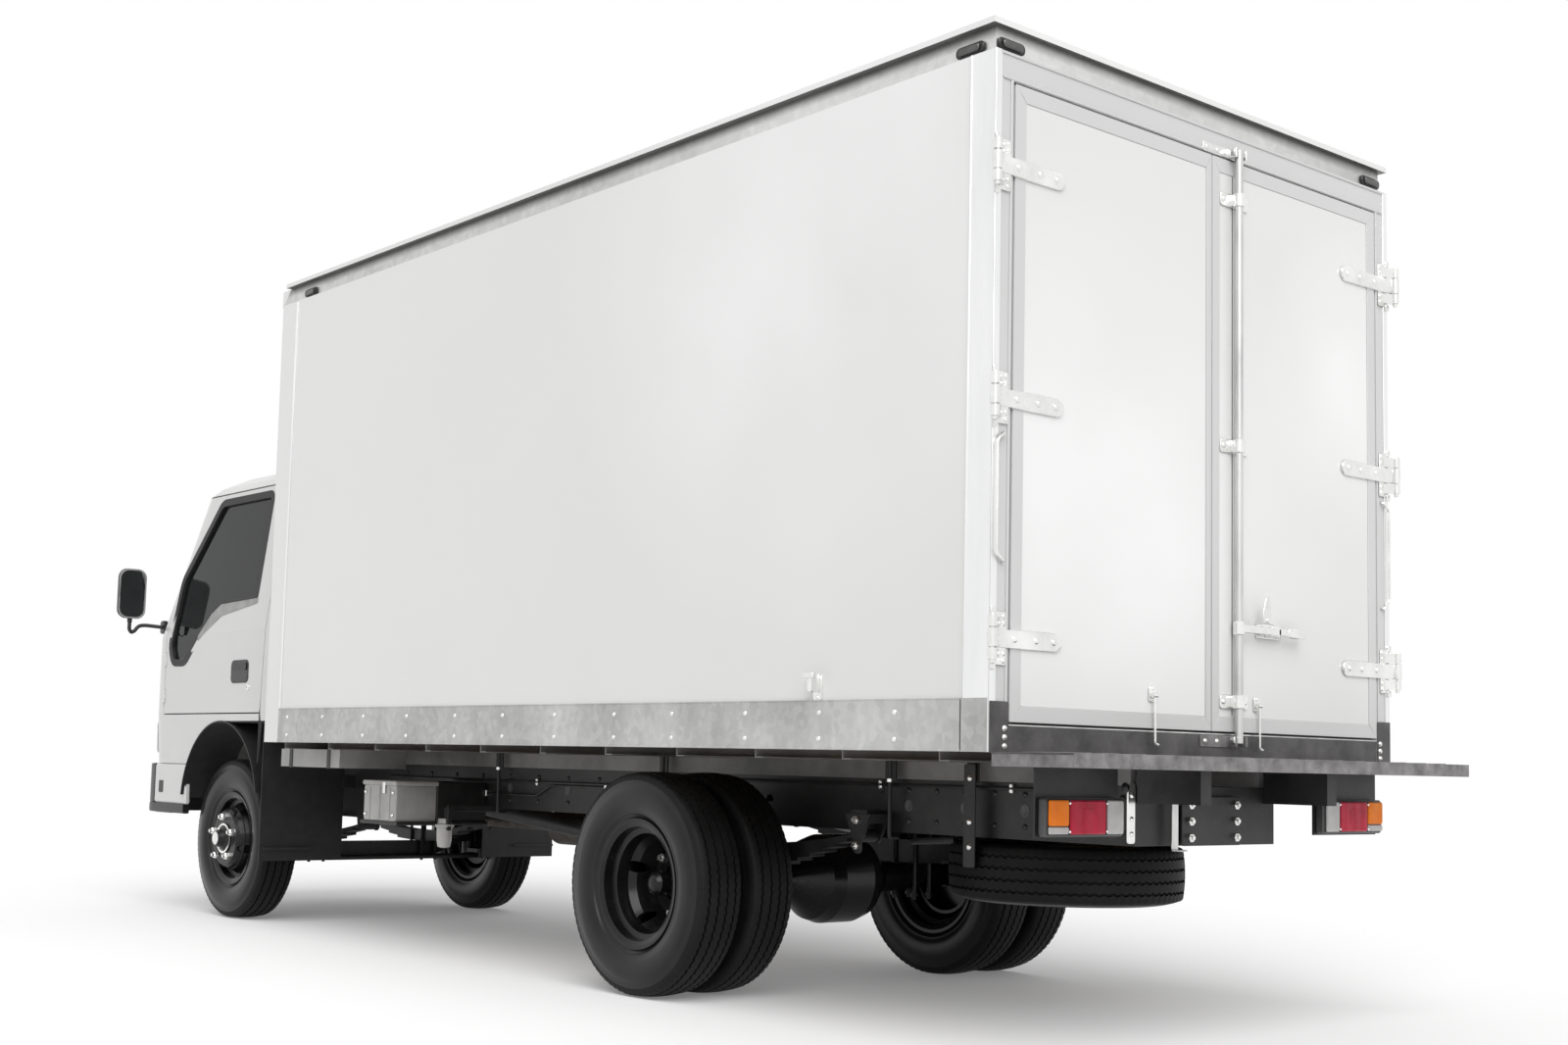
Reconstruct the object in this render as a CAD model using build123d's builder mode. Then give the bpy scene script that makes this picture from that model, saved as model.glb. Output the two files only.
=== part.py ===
from build123d import *
import os
from math import cos, pi, radians, sin

os.makedirs("parts", exist_ok=True)

# ---------------------------------------------------------------------------
# Light cab-over box truck.  Millimetres, +Z up, front towards -Y, left side
# of the vehicle towards +X, ground at z = 0, origin at the middle of the
# overall length.
# ---------------------------------------------------------------------------

# Layout along the vehicle
wheelbase = 3550
front_overhang = 1020
rear_overhang = 2034
y_front = -(front_overhang + wheelbase + rear_overhang) / 2
y_front_axle = y_front + front_overhang
y_rear_axle = y_front_axle + wheelbase
y_step_end = y_rear_axle + rear_overhang
step_depth = 303
y_box_rear = y_step_end - step_depth
box_length = 4520
y_box_front = y_box_rear - box_length

# Wheels and tyres
tyre_diameter = 775
tyre_width = 200
axle_height = tyre_diameter / 2
wheel_offset = 115
flange_radius = 225
bead_radius = 203
bead_half_width = 69
well_radius = 180
rim_half_width = 80
rim_wall = 6
disc_thickness = 11
hub_hole_radius = 75
stud_circle_radius = 104
fit_gap = 0.5
x_front_tyre = 678
x_rear_discs = 725
x_kingpin = 600
steer_arm_length = 120
hub_radius = 72
drum_radius = 152
front_drum_depth = 75
rear_drum_depth = 110
hub_tail = 4

# Chassis frame
frame_half_width = 350
rail_height = 180
rail_flange = 60
rail_wall = 6
frame_top = 770
frame_bottom = frame_top - rail_height
y_frame_front = y_front + 140
y_frame_rear = y_box_rear - 12
spring_width = 70
x_front_spring = 323
x_rear_spring = 425

# Load body
body_half_width = 1005
wall = 40
rail_bottom = 858
rail_top = 1008
panel_top = 2868
roof_top = 2961
roof_plate = 18
roof_overhang = 8
floor_top = 930
floor_board = 25
bearer_height = 75
post_width = 75
post_depth = 70
door_thickness = 38
door_proud = 5
door_bottom = 943
door_top = 2779
door_gap = 6
sill_bottom = 860
sill_top = door_bottom - door_gap
x_hinge = 1022
hinge_standoff = 26
hinge_levels = (1175, 1857, 2530)
step_half_width = 996
step_top = 859
step_height = 40

# Cab
cab_half_width = 845
cab_wall = 45
cab_bottom = 745
cab_floor = 965
floor_sheet = 30
crease_height = 1000
waist_height = 1400
eaves_height = 2110
cab_roof = 2190
y_cab_back = y_box_front - 110
y_cab_face = y_front + 60
tunnel_half_width = 340
tunnel_top = 1200
arch_radius = 430
arch_centre_height = 530
tilt_height = 715
y_tilt = y_front + 62

# Gap left where one piece sits on another
seat_gap = 0.3


def side_plane(x, y=0.0, z=0.0):
    """Plane square to X, with its own x along +Y and its own y along +Z."""
    return Plane(origin=(x, y, z), x_dir=(0, 1, 0), z_dir=(1, 0, 0))


def front_plane(y, x=0.0, z=0.0):
    """Plane square to Y, with its own x along +X and its own y along +Z."""
    return Plane(origin=(x, y, z), x_dir=(1, 0, 0), z_dir=(0, -1, 0))


def wheel_axis(y):
    """Axis along X through a wheel centre."""
    return Axis((0, y, axle_height), (1, 0, 0))


# ---------------------------------------------------------------------------
# Wheels: one pressed disc wheel, used dished outwards in front and back to
# back in pairs behind.
# ---------------------------------------------------------------------------

def tyre_section(plane):
    """Closed section of a tyre, radius upwards, seated between the flanges."""
    tread = tyre_width / 2 - 17
    with BuildSketch(plane) as section:
        with BuildLine():
            Polyline(
                (-bead_half_width, bead_radius + fit_gap),
                (-bead_half_width, flange_radius + 4),
                (-tyre_width / 2, flange_radius + 62),
                (-tyre_width / 2 + 4, axle_height - 34),
                (-tread, axle_height - 5),
                (0, axle_height),
                (tread, axle_height - 5),
                (tyre_width / 2 - 4, axle_height - 34),
                (tyre_width / 2, flange_radius + 62),
                (bead_half_width, flange_radius + 4),
                (bead_half_width, bead_radius + fit_gap),
                close=True,
            )
        make_face()
        shoulders = section.vertices().filter_by(lambda v: v.Y > flange_radius + 10 and abs(v.X) > 1)
        fillet(shoulders, 16)
    return section.sketch


def rim_section(plane, dish):
    """Rim with a drop centre and a dished disc; dish is +1 or -1 along X."""
    hook = rim_half_width
    with BuildSketch(plane) as section:
        with BuildLine():
            Polyline(
                (-hook, flange_radius),
                (-hook + 6, flange_radius),
                (-bead_half_width - 1, bead_radius),
                (-32, bead_radius - 3),
                (-26, well_radius),
                (26, well_radius),
                (32, bead_radius - 3),
                (bead_half_width + 1, bead_radius),
                (hook - 6, flange_radius),
                (hook, flange_radius),
                (hook - 2, flange_radius - 12),
                (71, bead_radius - rim_wall),
                (37, bead_radius - rim_wall - 3),
                (31, well_radius - rim_wall),
                (-31, well_radius - rim_wall),
                (-37, bead_radius - rim_wall - 3),
                (-71, bead_radius - rim_wall),
                (-hook + 2, flange_radius - 12),
                close=True,
            )
        make_face()
        with BuildLine():
            Polyline(
                (dish * -22, well_radius - 1),
                (dish * 22, well_radius - 1),
                (dish * 50, well_radius - 18),
                (dish * (wheel_offset - 14), 142),
                (dish * wheel_offset, 130),
                (dish * wheel_offset, hub_hole_radius),
                (dish * (wheel_offset - disc_thickness), hub_hole_radius),
                (dish * (wheel_offset - disc_thickness), 124),
                (dish * (wheel_offset - 26), 132),
                (dish * 40, well_radius - 28),
                (dish * 16, well_radius - 9),
                close=True,
            )
        make_face()
    return section.sketch


def hub_section(plane, x_face, reach, drum_depth):
    """Hub, its end cap and the brake drum, all turning with the wheel."""
    out = 1 if reach > 0 else -1
    with BuildSketch(plane) as section:
        with BuildLine():
            Polyline(
                (x_face + reach, 0),
                (x_face + reach, 30),
                (x_face + reach - out * 12, 40),
                (x_face + out * 30, 46),
                (x_face + out * 14, hub_radius),
                (x_face - out * fit_gap, hub_radius),
                (x_face - out * fit_gap, drum_radius - 22),
                (x_face - out * 25, drum_radius),
                (x_face - out * drum_depth, drum_radius),
                (x_face - out * drum_depth, drum_radius - 12),
                (x_face - out * 35, drum_radius - 12),
                (x_face - out * 35, 45),
                (x_face - out * (drum_depth + hub_tail), 45),
                (x_face - out * (drum_depth + hub_tail), 0),
                close=True,
            )
        make_face()
    return section.sketch


SIDES = (("left", 1), ("right", -1))

for side, hand in SIDES:
    x_tyre = hand * x_front_tyre
    with BuildPart() as tyre:
        add(tyre_section(front_plane(y_front_axle, x_tyre, axle_height)))
        revolve(axis=wheel_axis(y_front_axle))
    tyre.part.label = f"tyre_front_{side}"
    export_step(tyre.part, f"parts/tyre_front_{side}.step")

    with BuildPart() as wheel:
        add(rim_section(front_plane(y_front_axle, x_tyre, axle_height), hand))
        revolve(axis=wheel_axis(y_front_axle))
        with Locations(side_plane(x_tyre + hand * (wheel_offset - 40), y_front_axle, axle_height)):
            with PolarLocations(157, 5, start_angle=126):
                Cylinder(21, 90, mode=Mode.SUBTRACT)
        x_face = x_tyre + hand * (wheel_offset - disc_thickness)
        add(hub_section(front_plane(y_front_axle, 0, axle_height), x_face, hand * 60, front_drum_depth))
        revolve(axis=wheel_axis(y_front_axle))
    wheel.part.label = f"wheel_front_{side}"
    export_step(wheel.part, f"parts/wheel_front_{side}.step")

    pair = [(hand * x_rear_discs + out * wheel_offset, -out) for out in (-1, 1)]
    with BuildPart() as tyres:
        for x_centre, dish in pair:
            add(tyre_section(front_plane(y_rear_axle, x_centre, axle_height)))
        revolve(axis=wheel_axis(y_rear_axle))
    tyres.part.label = f"tyres_rear_{side}"
    export_step(tyres.part, f"parts/tyres_rear_{side}.step")

    with BuildPart() as wheels:
        for x_centre, dish in pair:
            add(rim_section(front_plane(y_rear_axle, x_centre, axle_height), dish))
        revolve(axis=wheel_axis(y_rear_axle))
        with Locations(side_plane(hand * x_rear_discs, y_rear_axle, axle_height)):
            with PolarLocations(157, 5, start_angle=90):
                Cylinder(21, 220, mode=Mode.SUBTRACT)
        x_face = hand * (x_rear_discs - disc_thickness)
        add(hub_section(front_plane(y_rear_axle, 0, axle_height), x_face, hand * 130, rear_drum_depth))
        revolve(axis=wheel_axis(y_rear_axle))
    wheels.part.label = f"wheels_rear_{side}"
    export_step(wheels.part, f"parts/wheels_rear_{side}.step")

# ---------------------------------------------------------------------------
# Front axle, knuckles and tie rod
# ---------------------------------------------------------------------------

beam_eye_half = 42
kingpin_radius = 13
beam_drop = 70
y_tie_rod = y_front_axle + steer_arm_length
z_tie_rod = axle_height - 72
x_front_hub_tail = x_front_tyre + wheel_offset - disc_thickness - front_drum_depth - hub_tail
x_axle_end = x_rear_discs - disc_thickness - rear_drum_depth - hub_tail - seat_gap

with BuildPart() as front_axle:
    with BuildSketch(front_plane(y_front_axle + 35, 0, axle_height)):
        with BuildLine():
            Polyline(
                (-x_kingpin, -22),
                (-x_kingpin + 75, -30),
                (-x_front_spring - 45, -beam_drop - 22),
                (x_front_spring + 45, -beam_drop - 22),
                (x_kingpin - 75, -30),
                (x_kingpin, -22),
                (x_kingpin, 22),
                (x_kingpin - 70, 30),
                (x_front_spring + 60, -beam_drop + 50),
                (-x_front_spring - 60, -beam_drop + 50),
                (-x_kingpin + 70, 30),
                (-x_kingpin, 22),
                close=True,
            )
        make_face()
    extrude(amount=70)
    for hand in (1, -1):
        with Locations((hand * x_kingpin, y_front_axle, axle_height)):
            Cylinder(34, 2 * beam_eye_half)
            Cylinder(kingpin_radius + fit_gap, 2 * beam_eye_half, mode=Mode.SUBTRACT)
front_axle.part.label = "front_axle"
export_step(front_axle.part, "parts/front_axle.step")

for side, hand in SIDES:
    with BuildPart() as knuckle:
        pin = (hand * x_kingpin, y_front_axle, axle_height)
        with Locations(pin):
            Cylinder(kingpin_radius, 190)
            Cylinder(34, 190)
            Cylinder(35.5, 2 * beam_eye_half + 2, mode=Mode.SUBTRACT)
            Cylinder(kingpin_radius, 190)
        with Locations((hand * (x_kingpin + 46), y_front_axle, axle_height)):
            Box(16, 96, 190)
        for level in (1, -1):
            with Locations((hand * (x_kingpin + 22), y_front_axle, axle_height + level * 70)):
                Box(40, 60, 50)
        with BuildSketch(side_plane(hand * (x_kingpin + 52), y_front_axle, axle_height)):
            Circle(drum_radius - 4)
        extrude(amount=hand * 5)
        with BuildSketch(side_plane(hand * (x_kingpin + 54), y_front_axle, axle_height)):
            Circle(38)
        extrude(amount=hand * (x_front_hub_tail - seat_gap - x_kingpin - 54))
        with BuildSketch(Plane.XY.offset(z_tie_rod)):
            with BuildLine():
                Polyline(
                    (pin[0] + 26, pin[1]),
                    (pin[0] + 18, y_tie_rod),
                    (pin[0] - 18, y_tie_rod),
                    (pin[0] - 26, pin[1]),
                    close=True,
                )
            make_face()
            with Locations((pin[0], y_tie_rod)):
                Circle(20)
                Circle(8 + fit_gap, mode=Mode.SUBTRACT)
        extrude(amount=9, both=True)
    knuckle.part.label = f"knuckle_{side}"
    export_step(knuckle.part, f"parts/knuckle_{side}.step")

with BuildPart() as tie_rod:
    with BuildSketch(side_plane(-x_kingpin + 24, y_tie_rod, z_tie_rod - 24)):
        Circle(13)
    extrude(amount=2 * (x_kingpin - 24))
    for hand in (1, -1):
        with Locations((hand * x_kingpin, y_tie_rod, z_tie_rod - 24)):
            Cylinder(21, 28)
        with Locations((hand * x_kingpin, y_tie_rod, z_tie_rod - 6)):
            Cylinder(8, 34)
        with Locations((hand * (x_kingpin - 22), y_tie_rod, z_tie_rod - 24)):
            Cylinder(13, 30, rotation=(0, 90, 0))
tie_rod.part.label = "tie_rod"
export_step(tie_rod.part, "parts/tie_rod.step")

# ---------------------------------------------------------------------------
# Rear axle and leaf springs
# ---------------------------------------------------------------------------

z_rear_pad = axle_height + 52
with BuildPart() as rear_axle:
    with BuildSketch(front_plane(y_rear_axle, 0, axle_height)):
        with BuildLine():
            Polyline(
                (-x_axle_end, 0),
                (-x_axle_end, 42),
                (-x_rear_spring + 60, 52),
                (-230, 60),
                (-120, 150),
                (-70, 165),
                (70, 165),
                (120, 150),
                (230, 60),
                (x_rear_spring - 60, 52),
                (x_axle_end, 42),
                (x_axle_end, 0),
                close=True,
            )
        make_face()
    revolve(axis=wheel_axis(y_rear_axle))
    with BuildSketch(front_plane(y_rear_axle - 150, 0, axle_height)):
        Circle(75)
    extrude(amount=130)
    for hand in (1, -1):
        with Locations((hand * x_rear_spring, y_rear_axle, (axle_height + z_rear_pad) / 2)):
            Box(spring_width + 20, 110, z_rear_pad - axle_height)
rear_axle.part.label = "rear_axle"
export_step(rear_axle.part, "parts/rear_axle.step")


def leaf_section(plane, half_length, camber, leaves):
    """Side outline of an arched leaf pack, each leaf shorter than the one above."""
    leaf = 11
    arch = (half_length**2 + camber**2) / (2 * camber)

    def on_arc(number, angle):
        radius = arch + number * leaf
        return (radius * sin(angle), arch - radius * cos(angle))

    angles = [half_length / arch * (1 - 0.8 * number / leaves) for number in range(leaves)]
    with BuildSketch(plane) as section:
        with BuildLine():
            ThreePointArc(on_arc(0, -angles[0]), on_arc(0, 0), on_arc(0, angles[0]))
            for end in (-1, 1):
                for number, angle in enumerate(angles):
                    Line(on_arc(number, end * angle), on_arc(number + 1, end * angle))
                    if number + 1 < leaves:
                        inner = end * angles[number + 1]
                        middle = (end * angle + inner) / 2
                        ThreePointArc(
                            on_arc(number + 1, end * angle), on_arc(number + 1, middle), on_arc(number + 1, inner)
                        )
            ThreePointArc(on_arc(leaves, -angles[-1]), on_arc(leaves, 0), on_arc(leaves, angles[-1]))
        make_face()
        for end in (-1, 1):
            with Locations((end * half_length, camber - leaf)):
                Circle(22)
                Circle(11, mode=Mode.SUBTRACT)
    return section.sketch


front_spring_half = 580
rear_spring_half = 640
spring_camber = 60
z_front_spring = axle_height - beam_drop + 50 + 55.3
z_rear_spring = z_rear_pad + 88.3
spring_packs = (
    (x_front_spring, y_front_axle, z_front_spring, front_spring_half, 5),
    (x_rear_spring, y_rear_axle, z_rear_spring, rear_spring_half, 8),
)
with BuildPart() as leaf_springs:
    for x_spring, y_spring, z_spring, half_length, leaves in spring_packs:
        for hand in (1, -1):
            plane = side_plane(hand * x_spring - spring_width / 2, y_spring, z_spring)
            extrude(leaf_section(plane, half_length, spring_camber, leaves), amount=spring_width)
leaf_springs.part.label = "leaf_springs"
export_step(leaf_springs.part, "parts/leaf_springs.step")

# ---------------------------------------------------------------------------
# Chassis frame: two channel rails, cross members, spring hangers and the
# brackets that carry the cab
# ---------------------------------------------------------------------------

frame_length = y_frame_rear - y_frame_front
y_cab_mount = y_cab_back - 60
hinge_lug = 24
x_tilt_lug = frame_half_width + 12


def channel(width, height, thickness):
    """Channel section open towards +x, its web at x = 0."""
    with BuildSketch() as section:
        Rectangle(width, height, align=(Align.MIN, Align.CENTER))
        with Locations((thickness, 0)):
            Rectangle(width, height - 2 * thickness, align=(Align.MIN, Align.CENTER), mode=Mode.SUBTRACT)
    return section.sketch


with BuildPart() as chassis_frame:
    rail_mid = frame_top - rail_height / 2
    for hand in (1, -1):
        rail_plane = Plane(
            origin=(hand * frame_half_width, y_frame_front, rail_mid), x_dir=(-hand, 0, 0), z_dir=(0, 1, 0)
        )
        with BuildSketch(rail_plane):
            add(channel(rail_flange, rail_height, rail_wall))
        extrude(amount=frame_length)
    member_width = 2 * frame_half_width - 2 * rail_wall
    for y_member in (y_front_axle - 560, y_front_axle + 880, -380, y_rear_axle - 660, y_rear_axle + 700):
        with BuildSketch(side_plane(-member_width / 2, y_member, frame_top - 58)):
            add(channel(50, 110, 5))
        extrude(amount=member_width)
    with Locations((0, y_frame_rear - 4, rail_mid)):
        Box(2 * frame_half_width, 8, rail_height)
    with BuildSketch(side_plane(frame_half_width - rail_wall, 0, rail_mid)):
        with Locations((y_rear_axle - 240, 0), (y_rear_axle + 40, 0)):
            Circle(22)
    extrude(amount=rail_wall, mode=Mode.SUBTRACT)
    for x_eye, y_eye, z_eye, reach, leaves in spring_packs:
        for hand in (1, -1):
            x_arm = (frame_half_width + x_eye + spring_width / 2) / 2
            for end in (-1, 1):
                with Locations((hand * x_arm, y_eye + end * reach, z_eye + spring_camber + 60)):
                    Box(x_eye + spring_width / 2 - frame_half_width + 12, 80, 30)
            for end in (-1, 1):
                eye = (y_eye + end * reach, z_eye + spring_camber - 11)
                with BuildSketch(side_plane(hand * x_eye - spring_width / 2 - 12, 0, 0)):
                    with BuildLine():
                        Polyline(
                            (eye[0] - 24, eye[1] - 10),
                            (eye[0] + 24, eye[1] - 10),
                            (eye[0] + 60, frame_bottom + 60),
                            (eye[0] - 60, frame_bottom + 60),
                            close=True,
                        )
                    make_face()
                    with Locations(eye):
                        Circle(26)
                extrude(amount=spring_width + 24)
                with BuildSketch(side_plane(hand * x_eye - spring_width / 2 - 2, 0, 0)):
                    with Locations(eye):
                        Rectangle(130, 84)
                extrude(amount=spring_width + 4, mode=Mode.SUBTRACT)
                with BuildSketch(side_plane(hand * x_eye - spring_width / 2 - 12, 0, 0)):
                    with Locations(eye):
                        Circle(10.7)
                extrude(amount=spring_width + 24)
    for hand in (1, -1):
        with Locations((hand * (frame_half_width - 40), y_cab_mount, (frame_top + cab_floor - 6) / 2)):
            Box(70, 90, cab_floor - 6 - frame_top)
        with Locations((hand * x_tilt_lug, (y_front + 30 + y_frame_front + 80) / 2, 664)):
            Box(hinge_lug, y_frame_front + 80 - y_front - 30, 128)
        with Locations((hand * (x_tilt_lug + 34), y_tilt, tilt_height)):
            Cylinder(11, 60, rotation=(0, 90, 0))
chassis_frame.part.label = "chassis_frame"
export_step(chassis_frame.part, "parts/chassis_frame.step")

# ---------------------------------------------------------------------------
# Load body: sub-sills, bearers, floor, walls, roof and rear frame
# ---------------------------------------------------------------------------

bearer_top = floor_top - floor_board
bearer_bottom = bearer_top - bearer_height
sill_width = 60
bearer_pitch = 410
bearer_count = 11
y_body_mid = (y_box_front + y_box_rear) / 2
inner_half_width = body_half_width - wall
y_inner_front = y_box_front + wall
y_inner_rear = y_box_rear - post_depth
rail_depth = 22

with BuildPart() as subframe:
    for hand in (1, -1):
        x_sill = hand * (frame_half_width - rail_flange / 2)
        with Locations((x_sill, y_body_mid, (frame_top + bearer_bottom) / 2)):
            Box(sill_width, box_length - 60, bearer_bottom - frame_top)
    for number in range(bearer_count):
        y_bearer = y_body_mid + (number - (bearer_count - 1) / 2) * bearer_pitch
        with BuildSketch(side_plane(-inner_half_width, y_bearer - 20, bearer_top - bearer_height / 2)):
            add(channel(40, bearer_height, 4))
        extrude(amount=2 * inner_half_width)
subframe.part.label = "subframe"
export_step(subframe.part, "parts/subframe.step")

with BuildPart() as cargo_floor:
    with Locations((0, (y_inner_front + y_inner_rear) / 2, floor_top - floor_board / 2)):
        Box(2 * inner_half_width, y_inner_rear - y_inner_front, floor_board)
cargo_floor.part.label = "cargo_floor"
export_step(cargo_floor.part, "parts/cargo_floor.step")

y_wall_front = y_box_front + 200
for side, hand in SIDES:
    with BuildPart() as side_wall:
        x_mid = hand * (body_half_width - wall / 2)
        with Locations((x_mid, (y_wall_front + y_inner_rear) / 2, (rail_bottom + panel_top) / 2)):
            Box(wall, y_inner_rear - y_wall_front, panel_top - rail_bottom)
    side_wall.part.label = f"side_wall_{side}"
    export_step(side_wall.part, f"parts/side_wall_{side}.step")

corner_round = 80
with BuildPart() as front_wall:
    with BuildSketch(Plane.XY.offset(rail_bottom)):
        with Locations((0, y_box_front)):
            Rectangle(2 * body_half_width, 200, align=(Align.CENTER, Align.MIN))
    extrude(amount=panel_top - rail_bottom)
    fillet(front_wall.edges().filter_by(Axis.Z).group_by(Axis.Y)[0], corner_round)
    with BuildSketch(Plane.XY.offset(rail_bottom)):
        with Locations((0, y_inner_front)):
            Rectangle(2 * inner_half_width, 200, align=(Align.CENTER, Align.MIN))
    extrude(amount=panel_top - rail_bottom, mode=Mode.SUBTRACT)
front_wall.part.label = "front_wall"
export_step(front_wall.part, "parts/front_wall.step")

with BuildPart() as roof:
    with BuildSketch(Plane.XY.offset(panel_top)):
        with Locations((0, (y_box_front + y_box_rear) / 2)):
            Rectangle(2 * body_half_width - 36, box_length - 36)
    extrude(amount=roof_top - roof_plate - panel_top)
    with BuildSketch(Plane.XY.offset(panel_top)):
        with Locations((0, (y_inner_front + y_inner_rear) / 2)):
            Rectangle(2 * inner_half_width - 60, y_inner_rear - y_inner_front - 40)
    extrude(amount=roof_top - roof_plate - panel_top - 22, mode=Mode.SUBTRACT)
    with BuildSketch(Plane.XY.offset(roof_top - roof_plate)):
        with Locations((0, (y_box_front + 100 + y_box_rear) / 2)):
            Rectangle(2 * (body_half_width + roof_overhang), box_length - 100)
    extrude(amount=roof_plate)
roof.part.label = "roof"
export_step(roof.part, "parts/roof.step")

with BuildPart() as side_rails:
    for hand in (1, -1):
        with Locations((hand * (body_half_width + 3), (y_wall_front + y_box_rear) / 2, (rail_bottom + rail_top) / 2)):
            Box(5, y_box_rear - y_wall_front - 10, rail_top - rail_bottom)
side_rails.part.label = "side_rails"
export_step(side_rails.part, "parts/side_rails.step")

door_inner_half = body_half_width - post_width
with BuildPart() as rear_frame:
    with BuildSketch(front_plane(y_box_rear)):
        with Locations((0, (rail_bottom + panel_top) / 2)):
            Rectangle(2 * body_half_width, panel_top - rail_bottom)
        with Locations((0, (sill_top + door_top + door_gap) / 2)):
            Rectangle(2 * door_inner_half, door_top + door_gap - sill_top, mode=Mode.SUBTRACT)
    extrude(amount=post_depth)
    for level in hinge_levels:
        for hand in (1, -1):
            for low in (level - 62, level + 30):
                with BuildSketch(Plane.XY.offset(low)):
                    with BuildLine():
                        Polyline(
                            (hand * (x_hinge - 48), y_box_rear),
                            (hand * (x_hinge - 48), y_box_rear + 8),
                            (hand * (x_hinge - 12), y_box_rear + hinge_standoff),
                            (hand * x_hinge, y_box_rear + hinge_standoff),
                            (hand * (x_hinge + 8), y_box_rear + hinge_standoff - 10),
                            (hand * body_half_width, y_box_rear),
                            close=True,
                        )
                    make_face()
                    with Locations((hand * x_hinge, y_box_rear + hinge_standoff)):
                        Circle(13)
                extrude(amount=32)
            with Locations((hand * x_hinge, y_box_rear + hinge_standoff, level)):
                Cylinder(6, 124)
rear_frame.part.label = "rear_frame"
export_step(rear_frame.part, "parts/rear_frame.step")

leaf_width = door_inner_half - door_gap - 3
strap_height = 40
strap_reach = 276
y_leaf = y_box_rear + door_proud
for side, hand in SIDES:
    with BuildPart() as leaf:
        with Locations((hand * (3 + leaf_width / 2), y_leaf - door_thickness / 2, (door_bottom + door_top) / 2)):
            Box(leaf_width, door_thickness, door_top - door_bottom)
        fillet(leaf.edges().filter_by(Axis.Z), 3)
        for level in hinge_levels:
            with BuildSketch(front_plane(y_leaf + 8)):
                with BuildLine():
                    Polyline(
                        (hand * (x_hinge - 34), level - strap_height / 2),
                        (hand * (x_hinge - 34), level + strap_height / 2),
                        (hand * (x_hinge - strap_reach), level + strap_height / 2),
                        (hand * (x_hinge - strap_reach), level - strap_height / 2),
                        close=True,
                    )
                make_face()
            extrude(amount=8)
            with BuildSketch(Plane.XY.offset(level - strap_height / 2)):
                with BuildLine():
                    Polyline(
                        (hand * (x_hinge - 34), y_leaf),
                        (hand * (x_hinge - 34), y_leaf + 8),
                        (hand * x_hinge, y_box_rear + hinge_standoff + 12),
                        (hand * x_hinge, y_box_rear + hinge_standoff - 12),
                        (hand * (x_hinge - 20), y_leaf),
                        close=True,
                    )
                make_face()
                with Locations((hand * x_hinge, y_box_rear + hinge_standoff)):
                    Circle(13)
                    Circle(6.5, mode=Mode.SUBTRACT)
            extrude(amount=strap_height)
    leaf.part.label = f"rear_door_{side}"
    export_step(leaf.part, f"parts/rear_door_{side}.step")

x_bar = -100
bar_radius = 15
bar_standoff = 28
with BuildPart() as lock_gear:
    with Locations((x_bar, y_leaf + bar_standoff, (door_bottom + door_top) / 2)):
        Cylinder(bar_radius, door_top - door_bottom + 60)
    for level in (1041, 1849, 2647):
        with Locations((x_bar, y_leaf + bar_standoff / 2, level)):
            Box(90, bar_standoff, 50)
    with Locations((-300, y_leaf + 6, 1305)):
        Box(260, 12, 70)
    with Locations((-205, y_leaf + 24, 1310)):
        Box(60, 26, 60)
    with Locations((-340, y_leaf + 40, 1306)):
        Box(250, 14, 26)
    with Locations((x_bar - 60, y_leaf + 28, 1306)):
        Box(110, 14, 26)
lock_gear.part.label = "lock_gear"
export_step(lock_gear.part, "parts/lock_gear.step")

with BuildPart() as rear_step:
    with Locations((0, y_step_end - step_depth / 2 + 2, step_top - step_height / 2)):
        Box(2 * step_half_width, step_depth - 4, step_height)
    for hand in (1, -1):
        with Locations((hand * (frame_half_width - 30), (y_frame_rear + seat_gap + y_step_end - 80) / 2, 769)):
            Box(50, y_step_end - 80 - y_frame_rear - seat_gap, 100)
rear_step.part.label = "rear_step"
export_step(rear_step.part, "parts/rear_step.step")

with BuildPart() as marker_lamps:
    for hand in (1, -1):
        for y_lamp in (y_box_front + 330, y_box_rear - 100):
            with Locations((hand * (body_half_width - 18 + 9), y_lamp, panel_top + 40)):
                Box(18, 130, 36)
        with Locations((hand * (body_half_width - 130), y_box_rear - 9, panel_top + 40)):
            Box(140, 18, 36)
marker_lamps.part.label = "marker_lamps"
export_step(marker_lamps.part, "parts/marker_lamps.step")

# tail lamps and their brackets
y_tail = y_box_rear + 40
z_tail = 680
with BuildPart() as tail_lamps:
    for hand in (1, -1):
        with Locations((hand * 675, y_tail + 20.3, z_tail)):
            Box(340, 40, 110)
tail_lamps.part.label = "tail_lamps"
export_step(tail_lamps.part, "parts/tail_lamps.step")

with BuildPart() as lamp_brackets:
    for hand in (1, -1):
        with Locations((hand * 675, y_tail - 3, (z_tail - 60 + step_top - step_height) / 2)):
            Box(360, 6, step_top - step_height - z_tail + 60)
lamp_brackets.part.label = "lamp_brackets"
export_step(lamp_brackets.part, "parts/lamp_brackets.step")

# ---------------------------------------------------------------------------
# Cab: a hollow shell lofted through rounded plan sections, with door, wind
# screen and rear window openings cut through it
# ---------------------------------------------------------------------------

# height, front face setback, half width, front corner radius
cab_levels = (
    (cab_bottom, 12, cab_half_width - 18, 250),
    (crease_height, 0, cab_half_width - 2, 265),
    (waist_height, 8, cab_half_width, 265),
    (eaves_height, 420, cab_half_width - 62, 235),
)
roof_levels = (
    (eaves_height, 420, cab_half_width - 62, 235),
    (cab_roof - 45, 470, cab_half_width - 95, 220),
    (cab_roof, 640, cab_half_width - 170, 190),
)


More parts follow.
